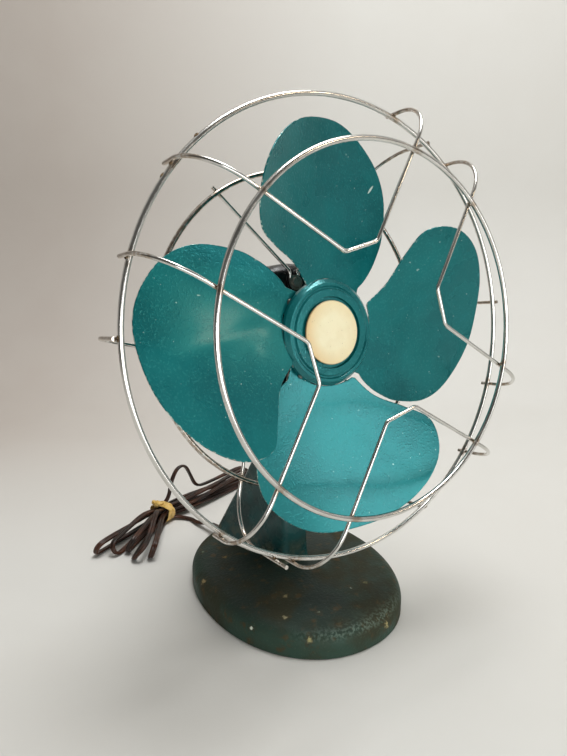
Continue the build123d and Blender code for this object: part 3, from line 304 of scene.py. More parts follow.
def knotLump(middle, size, seed):  # a crushed lump of tape
    points, faces, rows, columns = [], [], 12, 18
    for i in range(rows + 1):
        tilt = math.pi * i / rows
        for j in range(columns):
            turn = fullTurn * j / columns
            way = Vector((math.sin(tilt) * math.cos(turn), math.sin(tilt) * math.sin(turn), math.cos(tilt)))
            crush = 1 + 0.28 * noise.noise(way * 1.7 + Vector((seed, 0, 0))) + 0.1 * noise.noise(way * 5)
            points.append((middle + Vector((way.x * size[0], way.y * size[1], way.z * size[2])) * crush) * mm)
    for i in range(rows):
        for j in range(columns):
            k = (j + 1) % columns
            faces.append((i * columns + j, (i + 1) * columns + j, (i + 1) * columns + k, i * columns + k))
    return points, faces


print("tie")
tiePoints, tieFaces = [], []
for swing, phase, lift in tape["swings"]:
    points, faces = tapeBand(swing, phase, lift)
    tieFaces += [tuple(n + len(tiePoints) for n in face) for face in faces]
    tiePoints += points
hankTie = meshPiece("hank_tape", tiePoints, tieFaces)
thickness = hankTie.modifiers.new("thickness", "SOLIDIFY")
thickness.thickness = tape["thickness"] * mm
thickness.offset = 1.0
rounding = hankTie.modifiers.new("rounding", "SUBSURF")
rounding.levels = rounding.render_levels = 1
plainMesh(hankTie)
knotAlong, knotBeside, knotUp = tape["knot"]
knotAt = hank["tie"] + beside(hank["waistHeading"]) * knotBeside + Vector((0, 0, tape["top"] + knotUp))
knotAt += heading(hank["waistHeading"]) * knotAlong
lumpPoints, lumpFaces = [], []
for away, size, seed in tape["lumps"]:
    points, faces = knotLump(knotAt + Vector(away), size, seed)
    lumpFaces += [tuple(n + len(lumpPoints) for n in face) for face in faces]
    lumpPoints += points
tieKnot = meshPiece("hank_tape_knot", lumpPoints, lumpFaces)
welded = tieKnot.modifiers.new("poles", "WELD")
welded.merge_threshold = 0.00002
plainMesh(tieKnot)

# the four blades, in millimetres and degrees
blades = {"turns": (70.94, 160.94, 250.94, 340.94), "curve": 230.0, "curveAcross": 35.0,
          "curveForward": -25.8, "thickness": 1.0, "hubGap": 40.3, "grid": 3.4, "rows": (-34, 20),
          "columns": (3, 48), "edgeRings": (0.7, 1.8), "shoulder": 41.6, "tabSteps": (34.0, 26.0),
          "borderStep": 1.6,
          "tab": (4.0, 23.0, 18.0), "crease": ((-12.0, 60.0), (-44.3, 114.8)), "creaseDepth": 0.22,
          "creaseWidth": 6.0, "tipCrease": ((-30.0, 60.0), (-86.9, 87.7)),
          "lip": 0.28, "waviness": 0.22,
          "outline": ((8.0, 27.0), (23.5, 41.8), (31.0, 54.5), (35.5, 70.0), (37.0, 88.0), (31.0, 117.0),
                      (15.0, 137.0), (-11.0, 148.5), (-37.0, 148.5), (-67.0, 134.6), (-87.0, 115.0),
                      (-98.4, 92.0), (-100.6, 68.0), (-91.5, 47.4), (-72.6, 41.8), (-48.6, 38.0),
                      (-28.0, 26.6))}


def curveThrough(points, step):  # places a step apart along a smooth curve through the points
    places = []
    padded = [points[0] * 2 - points[1]] + points + [points[-1] * 2 - points[-2]]
    for a, b, c, d in zip(padded, padded[1:], padded[2:], padded[3:]):
        count = max(2, round((c - b).length / step))
        for i in range(count):
            t = i / count
            places.append(0.5 * ((2 * b) + (c - a) * t + (2 * a - 5 * b + 4 * c - d) * t * t
                                 + (3 * b - a - 3 * c + d) * t ** 3))
    return places + [points[-1]]


def segmentDistance(place, start, end):
    share = max(0.0, min(1.0, (place - start).dot(end - start) / (end - start).length_squared))
    return (place - start - (end - start) * share).length


def bladeBorder():
    sides = curveThrough([Vector(p) for p in blades["outline"]], blades["borderStep"])
    border = [p for p in sides if p.length > blades["hubGap"] and not (p.x > 0 and p.y < blades["shoulder"])]
    inner, outer, root = blades["tab"]
    last = math.atan2(border[-1].y, border[-1].x)
    first = math.acos(inner / blades["hubGap"])
    steps = 24
    for i in range(1, steps + 1):
        angle = last + (first - last) * i / steps
        border.append(Vector((blades["hubGap"] * math.cos(angle), blades["hubGap"] * math.sin(angle))))
    high, low = blades["tabSteps"]
    border += [Vector(p) for p in ((inner, high), (inner, low), (inner, root), ((inner + outer) / 2, root),
                                   (outer, root), (outer, low), (outer, high))]
    return border


def inside(place, border):
    crossings, before = False, border[-1]
    for corner in border:
        if (corner.y > place.y) != (before.y > place.y):
            if place.x < corner.x + (place.y - corner.y) / (before.y - corner.y) * (before.x - corner.x):
                crossings = not crossings
        before = corner
    return crossings


def bladeSheet():  # the flat blade as points, triangles and each point's distance from the edge
    border = bladeBorder()
    fill = []
    for inset in blades["edgeRings"]:
        for before, corner, after in zip(border[-1:] + border[:-1], border, border[1:] + border[:1]):
            way = (after - before).normalized()
            fill.append(corner + Vector((-way.y, way.x)) * inset)
            fill.append(corner - Vector((-way.y, way.x)) * inset)
    step = blades["grid"]
    for row in range(*blades["rows"]):
        for column in range(*blades["columns"]):
            shift = step / 2 if column % 2 else 0.0
            fill.append(Vector((row * step + shift, column * step)))
    count = len(border)

    def rim(place):
        return min(segmentDistance(place, border[i - 1], border[i]) for i in range(count))

    kept = []
    for place in fill:
        if inside(place, border):
            nearest = rim(place)
            ring = min(abs(nearest - inset) for inset in blades["edgeRings"])
            if ring < 0.12 or nearest > blades["edgeRings"][-1] + 1.0:
                kept.append(place)
    made = geometry.delaunay_2d_cdt(border + kept, [], [list(range(count))], 1, 0.0001)
    points, faces = made[0], made[2]
    return points, faces, [rim(p) for p in points]


def bladeWays(turn):  # across a blade, and out along it
    angle = math.radians(turn - 90)
    across = Vector((1, 0, 0)) * math.cos(angle) + headUp * math.sin(angle)
    return across, headForward.cross(across)


print("blades")
sheetPoints, sheetFaces, sheetRim = bladeSheet()
bladePieces = []
for number, turn in enumerate(blades["turns"], 1):
    acrossWay, outWay = bladeWays(turn)
    points = []
    for place in sheetPoints:
        ahead = blades["curveForward"] + blades["curve"] - math.sqrt(
            blades["curve"] ** 2 - (place.x - blades["curveAcross"]) ** 2)
        for start, end in (blades["crease"], blades["tipCrease"]):
            gap = segmentDistance(place, Vector(start), Vector(end)) / blades["creaseWidth"]
            ahead -= blades["creaseDepth"] * math.exp(-gap * gap) * (0.8 + 0.2 * number)
        ahead += blades["waviness"] * noise.noise(Vector((place.x / 38, place.y / 38, number * 7.0)))
        points.append(headCentre + (acrossWay * place.x + outWay * place.y + headForward * ahead) * mm)
    blade = meshPiece(f"enamelled_blade_{number}", points, sheetFaces)
    pointValues(blade, "edge", sheetRim)
    sheet = blade.modifiers.new("sheet", "SOLIDIFY")
    sheet.thickness = blades["thickness"] * mm
    sheet.offset = 0.0
    lip = blade.modifiers.new("lip", "BEVEL")
    lip.width = blades["lip"] * mm
    lip.segments = 2
    lip.limit_method = "ANGLE"
    lip.angle_limit = math.radians(50)
    plainMesh(blade)
    bladePieces.append(blade)
print("blade triangles", sum(len(p.vertices) - 2 for p in bladePieces[0].data.polygons))

# weld beads, where a guard wire crosses a ring, in millimetres and degrees, and the scorch round each
welds = {"loopTurn": 13.5, "strutTurn": 90.0, "ringWire": 1.9, "thinWire": 1.4, "front": (125.0, 43.5),
         "main": (165.0, 0.0), "rear": (125.0, -57.3), "frontHalf": 30.0, "mainHalf": 34.0,
         "beadRadius": 1.25, "beadLength": 2.2, "lumpiness": 0.28, "seed": 4,
         "legOffset": 45.75, "bareTurns": (129.0, 141.0, 357.5), "scorchRadians": (0.05, 0.016),
         "scorchReach": (7.0, 2.5)}


def ringPoint(ring, degrees, outward=0.0, ahead=0.0):
    radius = ring[0] + outward
    angle = math.radians(degrees)
    return headPoint(radius * math.cos(angle), radius * math.sin(angle), ring[1] + ahead)


def ringWay(degrees):
    angle = math.radians(degrees)
    return (headUp * math.cos(angle) - Vector((1, 0, 0)) * math.sin(angle)).normalized()


def legAngle(radius, offset):  # where a leg that runs at 45 degrees reaches a radius
    sideways = (-offset + math.sqrt(2 * radius ** 2 - offset ** 2)) / 2
    return math.degrees(math.atan2(sideways, sideways + offset))


def beadTree():
    tree = bpy.data.node_groups.new("weld beads", "GeometryNodeTree")
    tree.interface.new_socket("Points", in_out="INPUT", socket_type="NodeSocketGeometry")
    for name, kind in (("Radius", "NodeSocketFloat"), ("Length", "NodeSocketFloat"),
                       ("Lumpiness", "NodeSocketFloat"), ("Seed", "NodeSocketInt"),
                       ("Finish", "NodeSocketMaterial")):
        tree.interface.new_socket(name, in_out="INPUT", socket_type=kind)
    tree.interface.new_socket("Beads", in_out="OUTPUT", socket_type="NodeSocketGeometry")
    given = addNode(tree, "NodeGroupInput").outputs
    ball = addNode(tree, "GeometryNodeMeshIcoSphere", {"Radius": given["Radius"], "Subdivisions": 3})
    way = addNode(tree, "GeometryNodeInputNamedAttribute", {"Name": "wire_way"}, data_type="FLOAT_VECTOR")
    turned = addNode(tree, "FunctionNodeAlignRotationToVector", {"Vector": way.outputs["Attribute"]},
                     axis="Z")
    vary = addNode(tree, "FunctionNodeRandomValue", {2: 0.8, 3: 1.15, "Seed": given["Seed"]})
    size = addNode(tree, "ShaderNodeCombineXYZ", {"X": vary.outputs[1], "Y": vary.outputs[1],
                                                  "Z": given["Length"]})
    placed = addNode(tree, "GeometryNodeInstanceOnPoints",
                     {"Points": given["Points"], "Instance": ball.outputs["Mesh"],
                      "Rotation": turned.outputs["Rotation"], "Scale": size.outputs[0]})
    real = addNode(tree, "GeometryNodeRealizeInstances", {"Geometry": placed.outputs["Instances"]})
    where = addNode(tree, "GeometryNodeInputPosition")
    lumps = addNode(tree, "ShaderNodeTexNoise", {"Vector": where.outputs[0], "Scale": 700.0, "Detail": 1.0})
    centred = addNode(tree, "ShaderNodeMath", {0: lumps.outputs[0], 1: 0.5}, operation="SUBTRACT")
    height = addNode(tree, "ShaderNodeMath", {0: centred.outputs[0], 1: given["Lumpiness"]},
                     operation="MULTIPLY")
    normal = addNode(tree, "GeometryNodeInputNormal")
    push = addNode(tree, "ShaderNodeVectorMath", {0: normal.outputs[0], "Scale": height.outputs[0]},
                   operation="SCALE")
    pushed = addNode(tree, "GeometryNodeSetPosition",
                     {"Geometry": real.outputs[0], "Offset": push.outputs[0]})
    smooth = addNode(tree, "GeometryNodeSetShadeSmooth", {"Geometry": pushed.outputs[0]})
    coat = addNode(tree, "GeometryNodeSetMaterial",
                   {"Geometry": smooth.outputs[0], "Material": given["Finish"]})
    addNode(tree, "NodeGroupOutput", {"Beads": coat.outputs[0]})
    return tree


print("finishes")


def startFinish(name, roughness, metallic=0.0, **sockets):
    material = bpy.data.materials.new(name)
    material.use_nodes = True
    shader = material.node_tree.nodes["Principled BSDF"]
    for socket, value in {"Roughness": roughness, "Metallic": metallic, **sockets}.items():
        shader.inputs[socket.replace("_", " ")].default_value = value
    place = addNode(material.node_tree, "ShaderNodeTexCoord").outputs["Object"]
    return material, material.node_tree, shader, place


def patches(tree, place, size, low, high, detail=3.0, turn=0.0):  # 0 to 1 in patches of a size in millimetres
    grain = addNode(tree, "ShaderNodeTexNoise", {"Vector": place, "Scale": 1 / (size * mm), "Detail": detail,
                                                 "Distortion": turn})
    return addNode(tree, "ShaderNodeMapRange", {0: grain.outputs[0], 1: low, 2: high},
                   interpolation_type="SMOOTHSTEP").outputs[0]


def layered(tree, shader, first, *layers):  # colours laid over each other, each through its masks and strength
    colour = linear(first)
    for mask, *others, over in layers:
        for other in others:
            mask = addNode(tree, "ShaderNodeMath", {0: mask, 1: other}, operation="MULTIPLY").outputs[0]
        colour = addNode(tree, "ShaderNodeMix", {0: mask, 6: colour, 7: linear(over)},
                         data_type="RGBA").outputs[2]
    tree.links.new(colour, shader.inputs[0])  # a shader's first input is its colour


def surface(tree, shader, height, depth, roughness=None, span=None):  # relief in millimetres, and its gloss
    relief = addNode(tree, "ShaderNodeBump", {"Height": height, "Distance": depth * mm, "Strength": 1.0})
    tree.links.new(relief.outputs[0], shader.inputs["Normal"])
    if roughness is not None:
        gloss = addNode(tree, "ShaderNodeMapRange", {0: roughness, 3: span[0], 4: span[1]})
        tree.links.new(gloss.outputs[0], shader.inputs["Roughness"])


def spot(tree, place, middle, radius, ragged):  # 1 near a place in millimetres, 0 away from it, with a torn edge
    away = addNode(tree, "ShaderNodeVectorMath", {0: place, 1: tuple(m * mm for m in middle)},
                   operation="DISTANCE").outputs["Value"]
    away = addNode(tree, "ShaderNodeMath", {0: ragged, 1: -0.5 * radius * mm, 2: away},
                   operation="MULTIPLY_ADD").outputs[0]
    return addNode(tree, "ShaderNodeMapRange", {0: away, 1: radius * 0.3 * mm,
                                                2: -radius * 0.05 * mm}).outputs[0]


def fromAxis(tree, place):  # how far from the head's axis, in metres, and which way
    turned = addNode(tree, "ShaderNodeMapping", {"Vector": place, "Location": tuple(-headCentre)}).outputs[0]
    ahead = addNode(tree, "ShaderNodeVectorMath", {0: turned, 1: tuple(headForward)},
                    operation="DOT_PRODUCT").outputs["Value"]
    axial = addNode(tree, "ShaderNodeVectorMath", {0: tuple(headForward), "Scale": ahead}, operation="SCALE")
    outward = addNode(tree, "ShaderNodeVectorMath", {0: turned, 1: axial.outputs[0]},
                      operation="SUBTRACT").outputs[0]
    reach = addNode(tree, "ShaderNodeVectorMath", {0: outward}, operation="LENGTH").outputs["Value"]
    return reach, outward


# one bright scratch on the upper blade, in millimetres across it, out along it and ahead
scratch = {"place": (15.5, 118.9, -24.5), "lean": (0.43, 0.9), "slimness": 5.0, "ends": (4.8, 3.6)}
acrossWay, outWay = bladeWays(blades["turns"][0])
scratchAcross, scratchOut, scratchAhead = scratch["place"]
scratchPlace = headCentre + (acrossWay * scratchAcross + outWay * scratchOut + headForward * scratchAhead) * mm
sideLean, outLean = scratch["lean"]
scratchWide = (acrossWay * outLean - outWay * sideLean).normalized() * scratch["slimness"]
scratchLong = (outWay * outLean + acrossWay * sideLean).normalized()


# teal stoving enamel on pressed steel: glossy with a fine orange peel, chipped to pale primer at the edges
def tealEnamel(name, chipped, sheen=0.0):
    material, tree, shader, place = startFinish(name, 0.3, 0.45, IOR=1.5, Specular_IOR_Level=0.35 + sheen,
                                                Coat_Weight=0.12 + sheen, Coat_Roughness=0.12)
    cloud = patches(tree, place, 46, 0.2, 0.8)
    peel = patches(tree, place, 1.7, 0.5, 0.75, 1.0)  # 1.7 mm across, where the real peel is about 1 mm
    layers = [(cloud, "#067678"), (peel, 0.14, "#3FA9A6"),
              (patches(tree, place, 17, 0.5, 0.8), 0.05, "#2C7F7C"),
              (patches(tree, place, 3.2, 0.735, 0.75, 2.0), 0.6, "#A9CFC8")]
    if chipped:
        edge = addNode(tree, "ShaderNodeAttribute", attribute_name="edge").outputs["Fac"]
        ragged = patches(tree, place, 2.6, 0.35, 0.7, 4.0)
        reach = addNode(tree, "ShaderNodeMath", {0: ragged, 1: 0.7, 2: -0.3},
                        operation="MULTIPLY_ADD").outputs[0]
        bare = addNode(tree, "ShaderNodeMath", {0: reach, 1: edge}, operation="SUBTRACT").outputs[0]
        chip = addNode(tree, "ShaderNodeMapRange", {0: bare, 1: 0.0, 2: 0.12}).outputs[0]
        layers += [(chip, "#AEC6BC"), (patches(tree, place, 9, 0.5, 0.62), 0.7, chip, "#6B5138")]
        around = addNode(tree, "ShaderNodeMapping", {"Vector": place,
                                                     "Location": tuple(-scratchPlace)}).outputs[0]
        wide, tall = (addNode(tree, "ShaderNodeVectorMath", {0: around, 1: tuple(way)},
                              operation="DOT_PRODUCT").outputs["Value"] for way in (scratchWide, scratchLong))
        size = addNode(tree, "ShaderNodeCombineXYZ", {0: wide, 1: tall})
        away = addNode(tree, "ShaderNodeVectorMath", {0: size.outputs[0]}, operation="LENGTH").outputs["Value"]
        outer, inner = scratch["ends"]
        layers.append((addNode(tree, "ShaderNodeMapRange", {0: away, 1: outer * mm, 2: inner * mm}).outputs[0],
                       "#CBE0D8"))
    layered(tree, shader, "#026266", *layers)
    surface(tree, shader, peel, 0.06, cloud, (0.25, 0.31))
    return material


bladeEnamel = tealEnamel("teal enamel, chipped", True)
hubEnamel = tealEnamel("teal enamel, spun cap", False, 0.2)

# dark green wrinkle enamel on the cast base: nearly black with brown grime, rubbed pale on the front edge, with
# painted highlights on the lower side and along that front edge
baseWearAndHighlights = {"side": (23.5, 13.0), "edgeTop": (21.5, 18.5), "edgeFoot": (13.5, 17.5), "front": (-75.0, -100.0),
            "chips": (((-79.4, 18.2, 19.2), 5.0, "#8A7A56"), ((-60.1, 60.2, 21.4), 3.6, "#5F6F5A"),
                      ((-49.2, 36.7, 24.3), 4.4, "#6B5A34"), ((-49.9, -63.8, 22.3), 3.6, "#8B8466"),
                      ((-36.7, -43.7, 24.7), 4.0, "#7C7252"), ((-43.8, -88.7, 15.2), 4.6, "#9A9468"),
                      ((-73.0, -52.6, 15.0), 3.2, "#C9D0C0"), ((19.8, -102.4, 11.1), 5.4, "#A79C6C"),
                      ((16.0, -63.3, 24.0), 1.8, "#A9B9A8"), ((32.0, -62.4, 23.5), 4.6, "#5C5B3E"),
                      ((-24.5, -73.5, 22.7), 2.8, "#76806A"), ((23.0, -98.0, 15.5), 3.4, "#8A8B66"))}
baseEnamel, tree, shader, place = startFinish("dark green wrinkle enamel, worn", 0.6, IOR=1.45,
                                              Specular_IOR_Level=0.2)
split = addNode(tree, "ShaderNodeSeparateXYZ", {0: place}).outputs
shoulderHighlight, edgeTop, edgeFoot, front = (
    addNode(tree, "ShaderNodeMapRange", {0: split[axis], 1: start * mm, 2: end * mm}).outputs[0]
    for axis, (start, end) in ((2, baseWearAndHighlights["side"]), (2, baseWearAndHighlights["edgeTop"]), (2, baseWearAndHighlights["edgeFoot"]),
                               (1, baseWearAndHighlights["front"])))
ragged = patches(tree, place, 2.0, 0.3, 0.7, 5.0)
grime = patches(tree, place, 34, 0.42, 0.66, 4.0)
# the lower side is painted a paler green, a painted highlight along the rounded shoulder
layers = [(patches(tree, place, 52, 0.45, 0.7), "#26382F"), (shoulderHighlight, "#30463B"), (grime, 0.75, "#33301F"),
          (patches(tree, place, 9, 0.57, 0.72, 5.0), 0.7, "#4A3B22"),
          (patches(tree, place, 1.6, 0.6, 0.75, 2.0), 0.3, "#52604F"),
          # the pale band along the front edge is rubbed paint with a painted highlight on it
          (edgeTop, edgeFoot, front, patches(tree, place, 2.2, 0.42, 0.62, 5.0), 0.4, "#7C9082")]
for middle, radius, shade in baseWearAndHighlights["chips"]:
    layers += [(spot(tree, place, middle, radius * 2.4, ragged), 0.6, "#3A3422"),
               (spot(tree, place, middle, radius, ragged), shade)]
layered(tree, shader, "#1F2C26", *layers)
surface(tree, shader, patches(tree, place, 2.2, 0.3, 0.7, 4.0), 0.16, grime, (0.5, 0.72))

# teal-green enamel on the cast neck: smoother and greener than the base, dusty low down
neckWear = {"foot": (50.0, 24.0)}
neckEnamel, tree, shader, place = startFinish("dark teal enamel", 0.34, IOR=1.5, Specular_IOR_Level=0.35)
dust = patches(tree, place, 12, 0.5, 0.75, 4.0)
upward = addNode(tree, "ShaderNodeSeparateXYZ", {0: place}).outputs[2]
foot = addNode(tree, "ShaderNodeMapRange", {0: upward, 1: neckWear["foot"][0] * mm,
                                            2: neckWear["foot"][1] * mm}).outputs[0]
layered(tree, shader, "#08302F", (patches(tree, place, 28, 0.38, 0.66), "#0C4443"),
        (dust, 0.15, "#2C4A42"), (foot, patches(tree, place, 8, 0.4, 0.62, 4.0), 0.8, "#4A4A36"))
surface(tree, shader, patches(tree, place, 1.8, 0.3, 0.7, 2.0), 0.03, dust, (0.26, 0.5))

# black enamel on the motor's pressed covers: deep gloss under a film of dust on what faces up
motorEnamel, tree, shader, place = startFinish("black enamel, dusty", 0.32, IOR=1.5, Specular_IOR_Level=0.35)
dust = patches(tree, place, 6, 0.42, 0.7, 5.0)
facing = addNode(tree, "ShaderNodeSeparateXYZ", {0: addNode(tree, "ShaderNodeTexCoord").outputs["Normal"]})
settled = addNode(tree, "ShaderNodeMapRange", {0: facing.outputs[2], 1: 0.2, 2: 1.0}).outputs[0]
film = addNode(tree, "ShaderNodeMath", {0: settled, 1: dust}, operation="MULTIPLY").outputs[0]
layered(tree, shader, "#0B0C0D", (dust, 0.3, "#1C1D1C"), (film, 0.3, "#5A554B"),
        (patches(tree, place, 2.4, 0.66, 0.7, 5.0, 0.6), 0.5, "#3B3732"))
surface(tree, shader, patches(tree, place, 1.8, 0.3, 0.7, 2.0), 0.03, film, (0.24, 0.6))


# tarnished nickel plating on drawn steel wire: bright with grey-brown clouds, scorched round each weld
def platedWire(name, loopHalf=None, legRadii=()):
    material, tree, shader, place = startFinish(name, 0.2, 1.0)
    cloud = patches(tree, place, 16, 0.42, 0.7, 5.0)
    layers = [(cloud, 0.35, "#B3AFA8"), (patches(tree, place, 42, 0.5, 0.72, 2.0), 0.25, "#9A958D"),
              (patches(tree, place, 1.7, 0.62, 0.74, 3.0), 0.3, "#6B6055")]
    reach, outward = fromAxis(tree, place)
    scorches = []
    if loopHalf is not None:  # the loops' ends stand in pairs, a quarter turn apart
        sideways, upwards = (addNode(tree, "ShaderNodeVectorMath", {0: outward, 1: tuple(way)},
                                     operation="DOT_PRODUCT").outputs["Value"] for way in ((1, 0, 0), headUp))
        angle = addNode(tree, "ShaderNodeMath", {0: upwards, 1: sideways}, operation="ARCTAN2").outputs[0]
        quarter = math.pi / 2
        for step, other in (("SUBTRACT", math.radians(welds["loopTurn"]) - quarter / 2),
                            ("FLOORED_MODULO", quarter), ("SUBTRACT", quarter / 2), ("ABSOLUTE", 0.0),
                            ("SUBTRACT", math.radians(loopHalf)), ("ABSOLUTE", 0.0)):
            angle = addNode(tree, "ShaderNodeMath", {0: angle, 1: other}, operation=step).outputs[0]
        outer, inner = welds["scorchRadians"]
        scorches.append(addNode(tree, "ShaderNodeMapRange", {0: angle, 1: outer, 2: inner}).outputs[0])
    for radius in legRadii:
        near = addNode(tree, "ShaderNodeMath", {0: reach, 1: radius * mm}, operation="SUBTRACT").outputs[0]
        near = addNode(tree, "ShaderNodeMath", {0: near}, operation="ABSOLUTE").outputs[0]
        outer, inner = welds["scorchReach"]
        scorches.append(addNode(tree, "ShaderNodeMapRange", {0: near, 1: outer * mm, 2: inner * mm}).outputs[0])
    stain = patches(tree, place, 3.0, 0.3, 0.6, 3.0)
    layers += [(scorch, stain, 0.6, "#8A6A40") for scorch in scorches]
    layered(tree, shader, "#DEDDD9", *layers)
    surface(tree, shader, patches(tree, place, 2.6, 0.35, 0.7, 3.0), 0.004, cloud, (0.14, 0.26))
    return material


# scorched weld metal: dull brown-grey oxide with a few bright flecks
weldScale, tree, shader, place = startFinish("weld scale", 0.55, 0.85)
fleck = patches(tree, place, 0.8, 0.52, 0.66, 2.0)
layered(tree, shader, "#6B5A45", (patches(tree, place, 2.2, 0.45, 0.6), "#3F3227"),
        (fleck, 0.5, "#B29A6B"))
surface(tree, shader, fleck, 0.08)

# aged cream moulding: urea plastic yellowed towards its rim and on one side, with pinhead specks
disc = {"rim": (12.5, 23.8), "grimyRim": (23.2, 24.0), "yellowSide": (-6.0, 24.0), "yellowWay": (-1, 0, -0.2)}
creamMoulding, tree, shader, place = startFinish("aged cream moulding", 0.38, IOR=1.52, Subsurface_Weight=0.06,
                                                 Subsurface_Scale=0.002)
reach, outward = fromAxis(tree, place)
sideward = addNode(tree, "ShaderNodeVectorMath", {0: outward, 1: disc["yellowWay"]},
                   operation="DOT_PRODUCT").outputs["Value"]
rimTone, grimy, yellowed = (
    addNode(tree, "ShaderNodeMapRange", {0: measure, 1: start * mm, 2: end * mm}).outputs[0]
    for measure, (start, end) in ((reach, disc["rim"]), (reach, disc["grimyRim"]),
                                  (sideward, disc["yellowSide"])))
mottle = patches(tree, place, 7, 0.4, 0.7, 4.0)
layered(tree, shader, "#F3EAC6", (rimTone, 0.45, "#E6CE95"), (yellowed, rimTone, 0.8, "#E0B97A"),
        (mottle, 0.3, "#E4D6AA"), (patches(tree, place, 1.1, 0.72, 0.75, 2.0), 0.7, "#8C7245"),
        (grimy, 0.7, "#6E5A38"))
surface(tree, shader, mottle, 0.03, mottle, (0.32, 0.46))

# brown twin lead: old plasticised rubber, smooth on its two ridges, darker in the groove between them
leadRubber, tree, shader, place = startFinish("brown twin lead rubber", 0.42, IOR=1.5, Specular_IOR_Level=0.35)
onRidge = addNode(tree, "ShaderNodeAttribute", attribute_name="ridge").outputs["Fac"]
lengthways = addNode(tree, "ShaderNodeAttribute", attribute_name="along").outputs["Fac"]
stretch = addNode(tree, "ShaderNodeTexNoise", {"W": lengthways, "Scale": 1 / (36 * mm), "Detail": 3.0},
                  noise_dimensions="1D").outputs[0]
worn = addNode(tree, "ShaderNodeMapRange", {0: stretch, 1: 0.42, 2: 0.66}).outputs[0]
groove = addNode(tree, "ShaderNodeMapRange", {0: onRidge, 1: 0.75, 2: 0.2}).outputs[0]
dust = patches(tree, place, 4, 0.5, 0.72, 4.0)
layered(tree, shader, "#160A05", (worn, "#40200E"), (dust, 0.25, "#63402A"),
        (groove, 0.85, "#120A07"))
surface(tree, shader, patches(tree, place, 1.4, 0.35, 0.7, 2.0), 0.03, dust, (0.32, 0.55))

# the relief on the base is the same rubber, moulded with rings 3 mm apart
reliefRubber, tree, shader, place = startFinish("moulded relief rubber", 0.5, IOR=1.5)
rings = addNode(tree, "ShaderNodeTexWave", {"Vector": place, "Scale": fullTurn / (20 * 3 * mm), "Detail": 0.0},
                wave_type="BANDS", bands_direction="Y").outputs["Fac"]
layered(tree, shader, "#1E120D", (patches(tree, place, 5, 0.45, 0.7, 4.0), "#35221A"))
surface(tree, shader, rings, 0.35, patches(tree, place, 3, 0.4, 0.7), (0.4, 0.6))

# yellowed cotton tape: plain weave gone ochre, shiny where fingers rubbed it
cottonTape, tree, shader, place = startFinish("yellowed cotton tape", 0.7, Sheen_Weight=0.25)
# the weave's cells are 0.9 mm across, twice as coarse as its threads
weave = addNode(tree, "ShaderNodeTexVoronoi", {"Vector": place, "Scale": 1 / (0.9 * mm)}).outputs[0]
creased = patches(tree, place, 5, 0.4, 0.62, 4.0, 0.8)
layered(tree, shader, "#D9B362", (creased, "#C0983F"),
        (patches(tree, place, 9, 0.5, 0.7, 4.0), 0.45, "#978747"),
        (patches(tree, place, 2.4, 0.6, 0.72), 0.5, "#ECD296"))
surface(tree, shader, weave, 0.12, creased, (0.55, 0.8))

# brown phenolic plug and switch: moulded, low gloss, with faint flow marks
phenolic, tree, shader, place = startFinish("brown phenolic", 0.4, IOR=1.55)
flow = patches(tree, place, 8, 0.42, 0.66, 5.0, 1.5)
layered(tree, shader, "#20130D", (flow, "#3A2418"),
        (patches(tree, place, 1.2, 0.6, 0.75), 0.3, "#5C4430"))
surface(tree, shader, flow, 0.02, flow, (0.3, 0.5))


def metalFinish(name, shades, roughness, size, relief):  # a bare metal with its own clouding and tool marks
    material, tree, shader, place = startFinish(name, roughness[0], 1.0)
    cloud = patches(tree, place, size, 0.4, 0.68, 5.0)
    marks = patches(tree, place, size / 5, 0.5, 0.72, 3.0)
    layered(tree, shader, shades[0], (cloud, shades[1]), (marks, 0.6, shades[2]))
    surface(tree, shader, marks, relief, cloud, roughness)
    return material


screwSteel = metalFinish("plated screw steel", ("#A8A59E", "#7C766C", "#5B4A38"), (0.28, 0.5), 5, 0.04)
shaftSteel = metalFinish("ground shaft steel", ("#B9B8B4", "#9A9892", "#6E6459"), (0.18, 0.36), 6, 0.02)
oldBrass = metalFinish("dull brass", ("#B08B4A", "#8C6A35", "#5E4A2A"), (0.26, 0.48), 5, 0.03)
bushBronze = metalFinish("sintered bronze, oiled", ("#8F6A3B", "#6E4E2A", "#3E2F1E"), (0.35, 0.55), 3, 0.05)
castAlloy = metalFinish("cast rotor alloy", ("#B4B5B6", "#97989A", "#7A7B7D"), (0.35, 0.5), 4, 0.06)


def banded(name, shades, direction, spacing, metallic, roughness):  # fine parallel lines, spacing in millimetres
    material, tree, shader, place = startFinish(name, roughness, metallic)
    turned = addNode(tree, "ShaderNodeVectorMath", {0: place, 1: tuple(direction)},
                     operation="DOT_PRODUCT").outputs["Value"]
    wave = addNode(tree, "ShaderNodeMath", {0: turned, 1: fullTurn / (spacing * mm)},
                   operation="MULTIPLY").outputs[0]
    line = addNode(tree, "ShaderNodeMath", {0: wave}, operation="SINE").outputs[0]
    lines = addNode(tree, "ShaderNodeMapRange", {0: line, 1: -1.0, 2: 1.0}).outputs[0]
    layered(tree, shader, shades[0], (lines, shades[1]),
            (patches(tree, place, 7, 0.42, 0.68, 4.0), 0.5, shades[2]))
    surface(tree, shader, lines, 0.1)
    return material


# stacked laminations, drawn 1 mm thick where the real sheets are half that
lamination = banded("stacked core sheets", ("#4B4743", "#6A6661", "#3A2C22"), headForward, 1.0, 0.9, 0.5)
copperWinding = banded("varnished copper winding", ("#5A2A12", "#A2592A", "#3C1B0D"), headUp, 0.9, 0.8, 0.36)

# green felt under the base: matted wool with stray pale fibres
greenFelt, tree, shader, place = startFinish("green felt", 0.95, Sheen_Weight=0.5, Sheen_Roughness=0.5)
matted = patches(tree, place, 1.6, 0.35, 0.7, 5.0)
layered(tree, shader, "#1E2B20", (matted, "#33442F"),
        (patches(tree, place, 0.9, 0.68, 0.74, 2.0), 0.6, "#7C8168"))
surface(tree, shader, matted, 0.4)

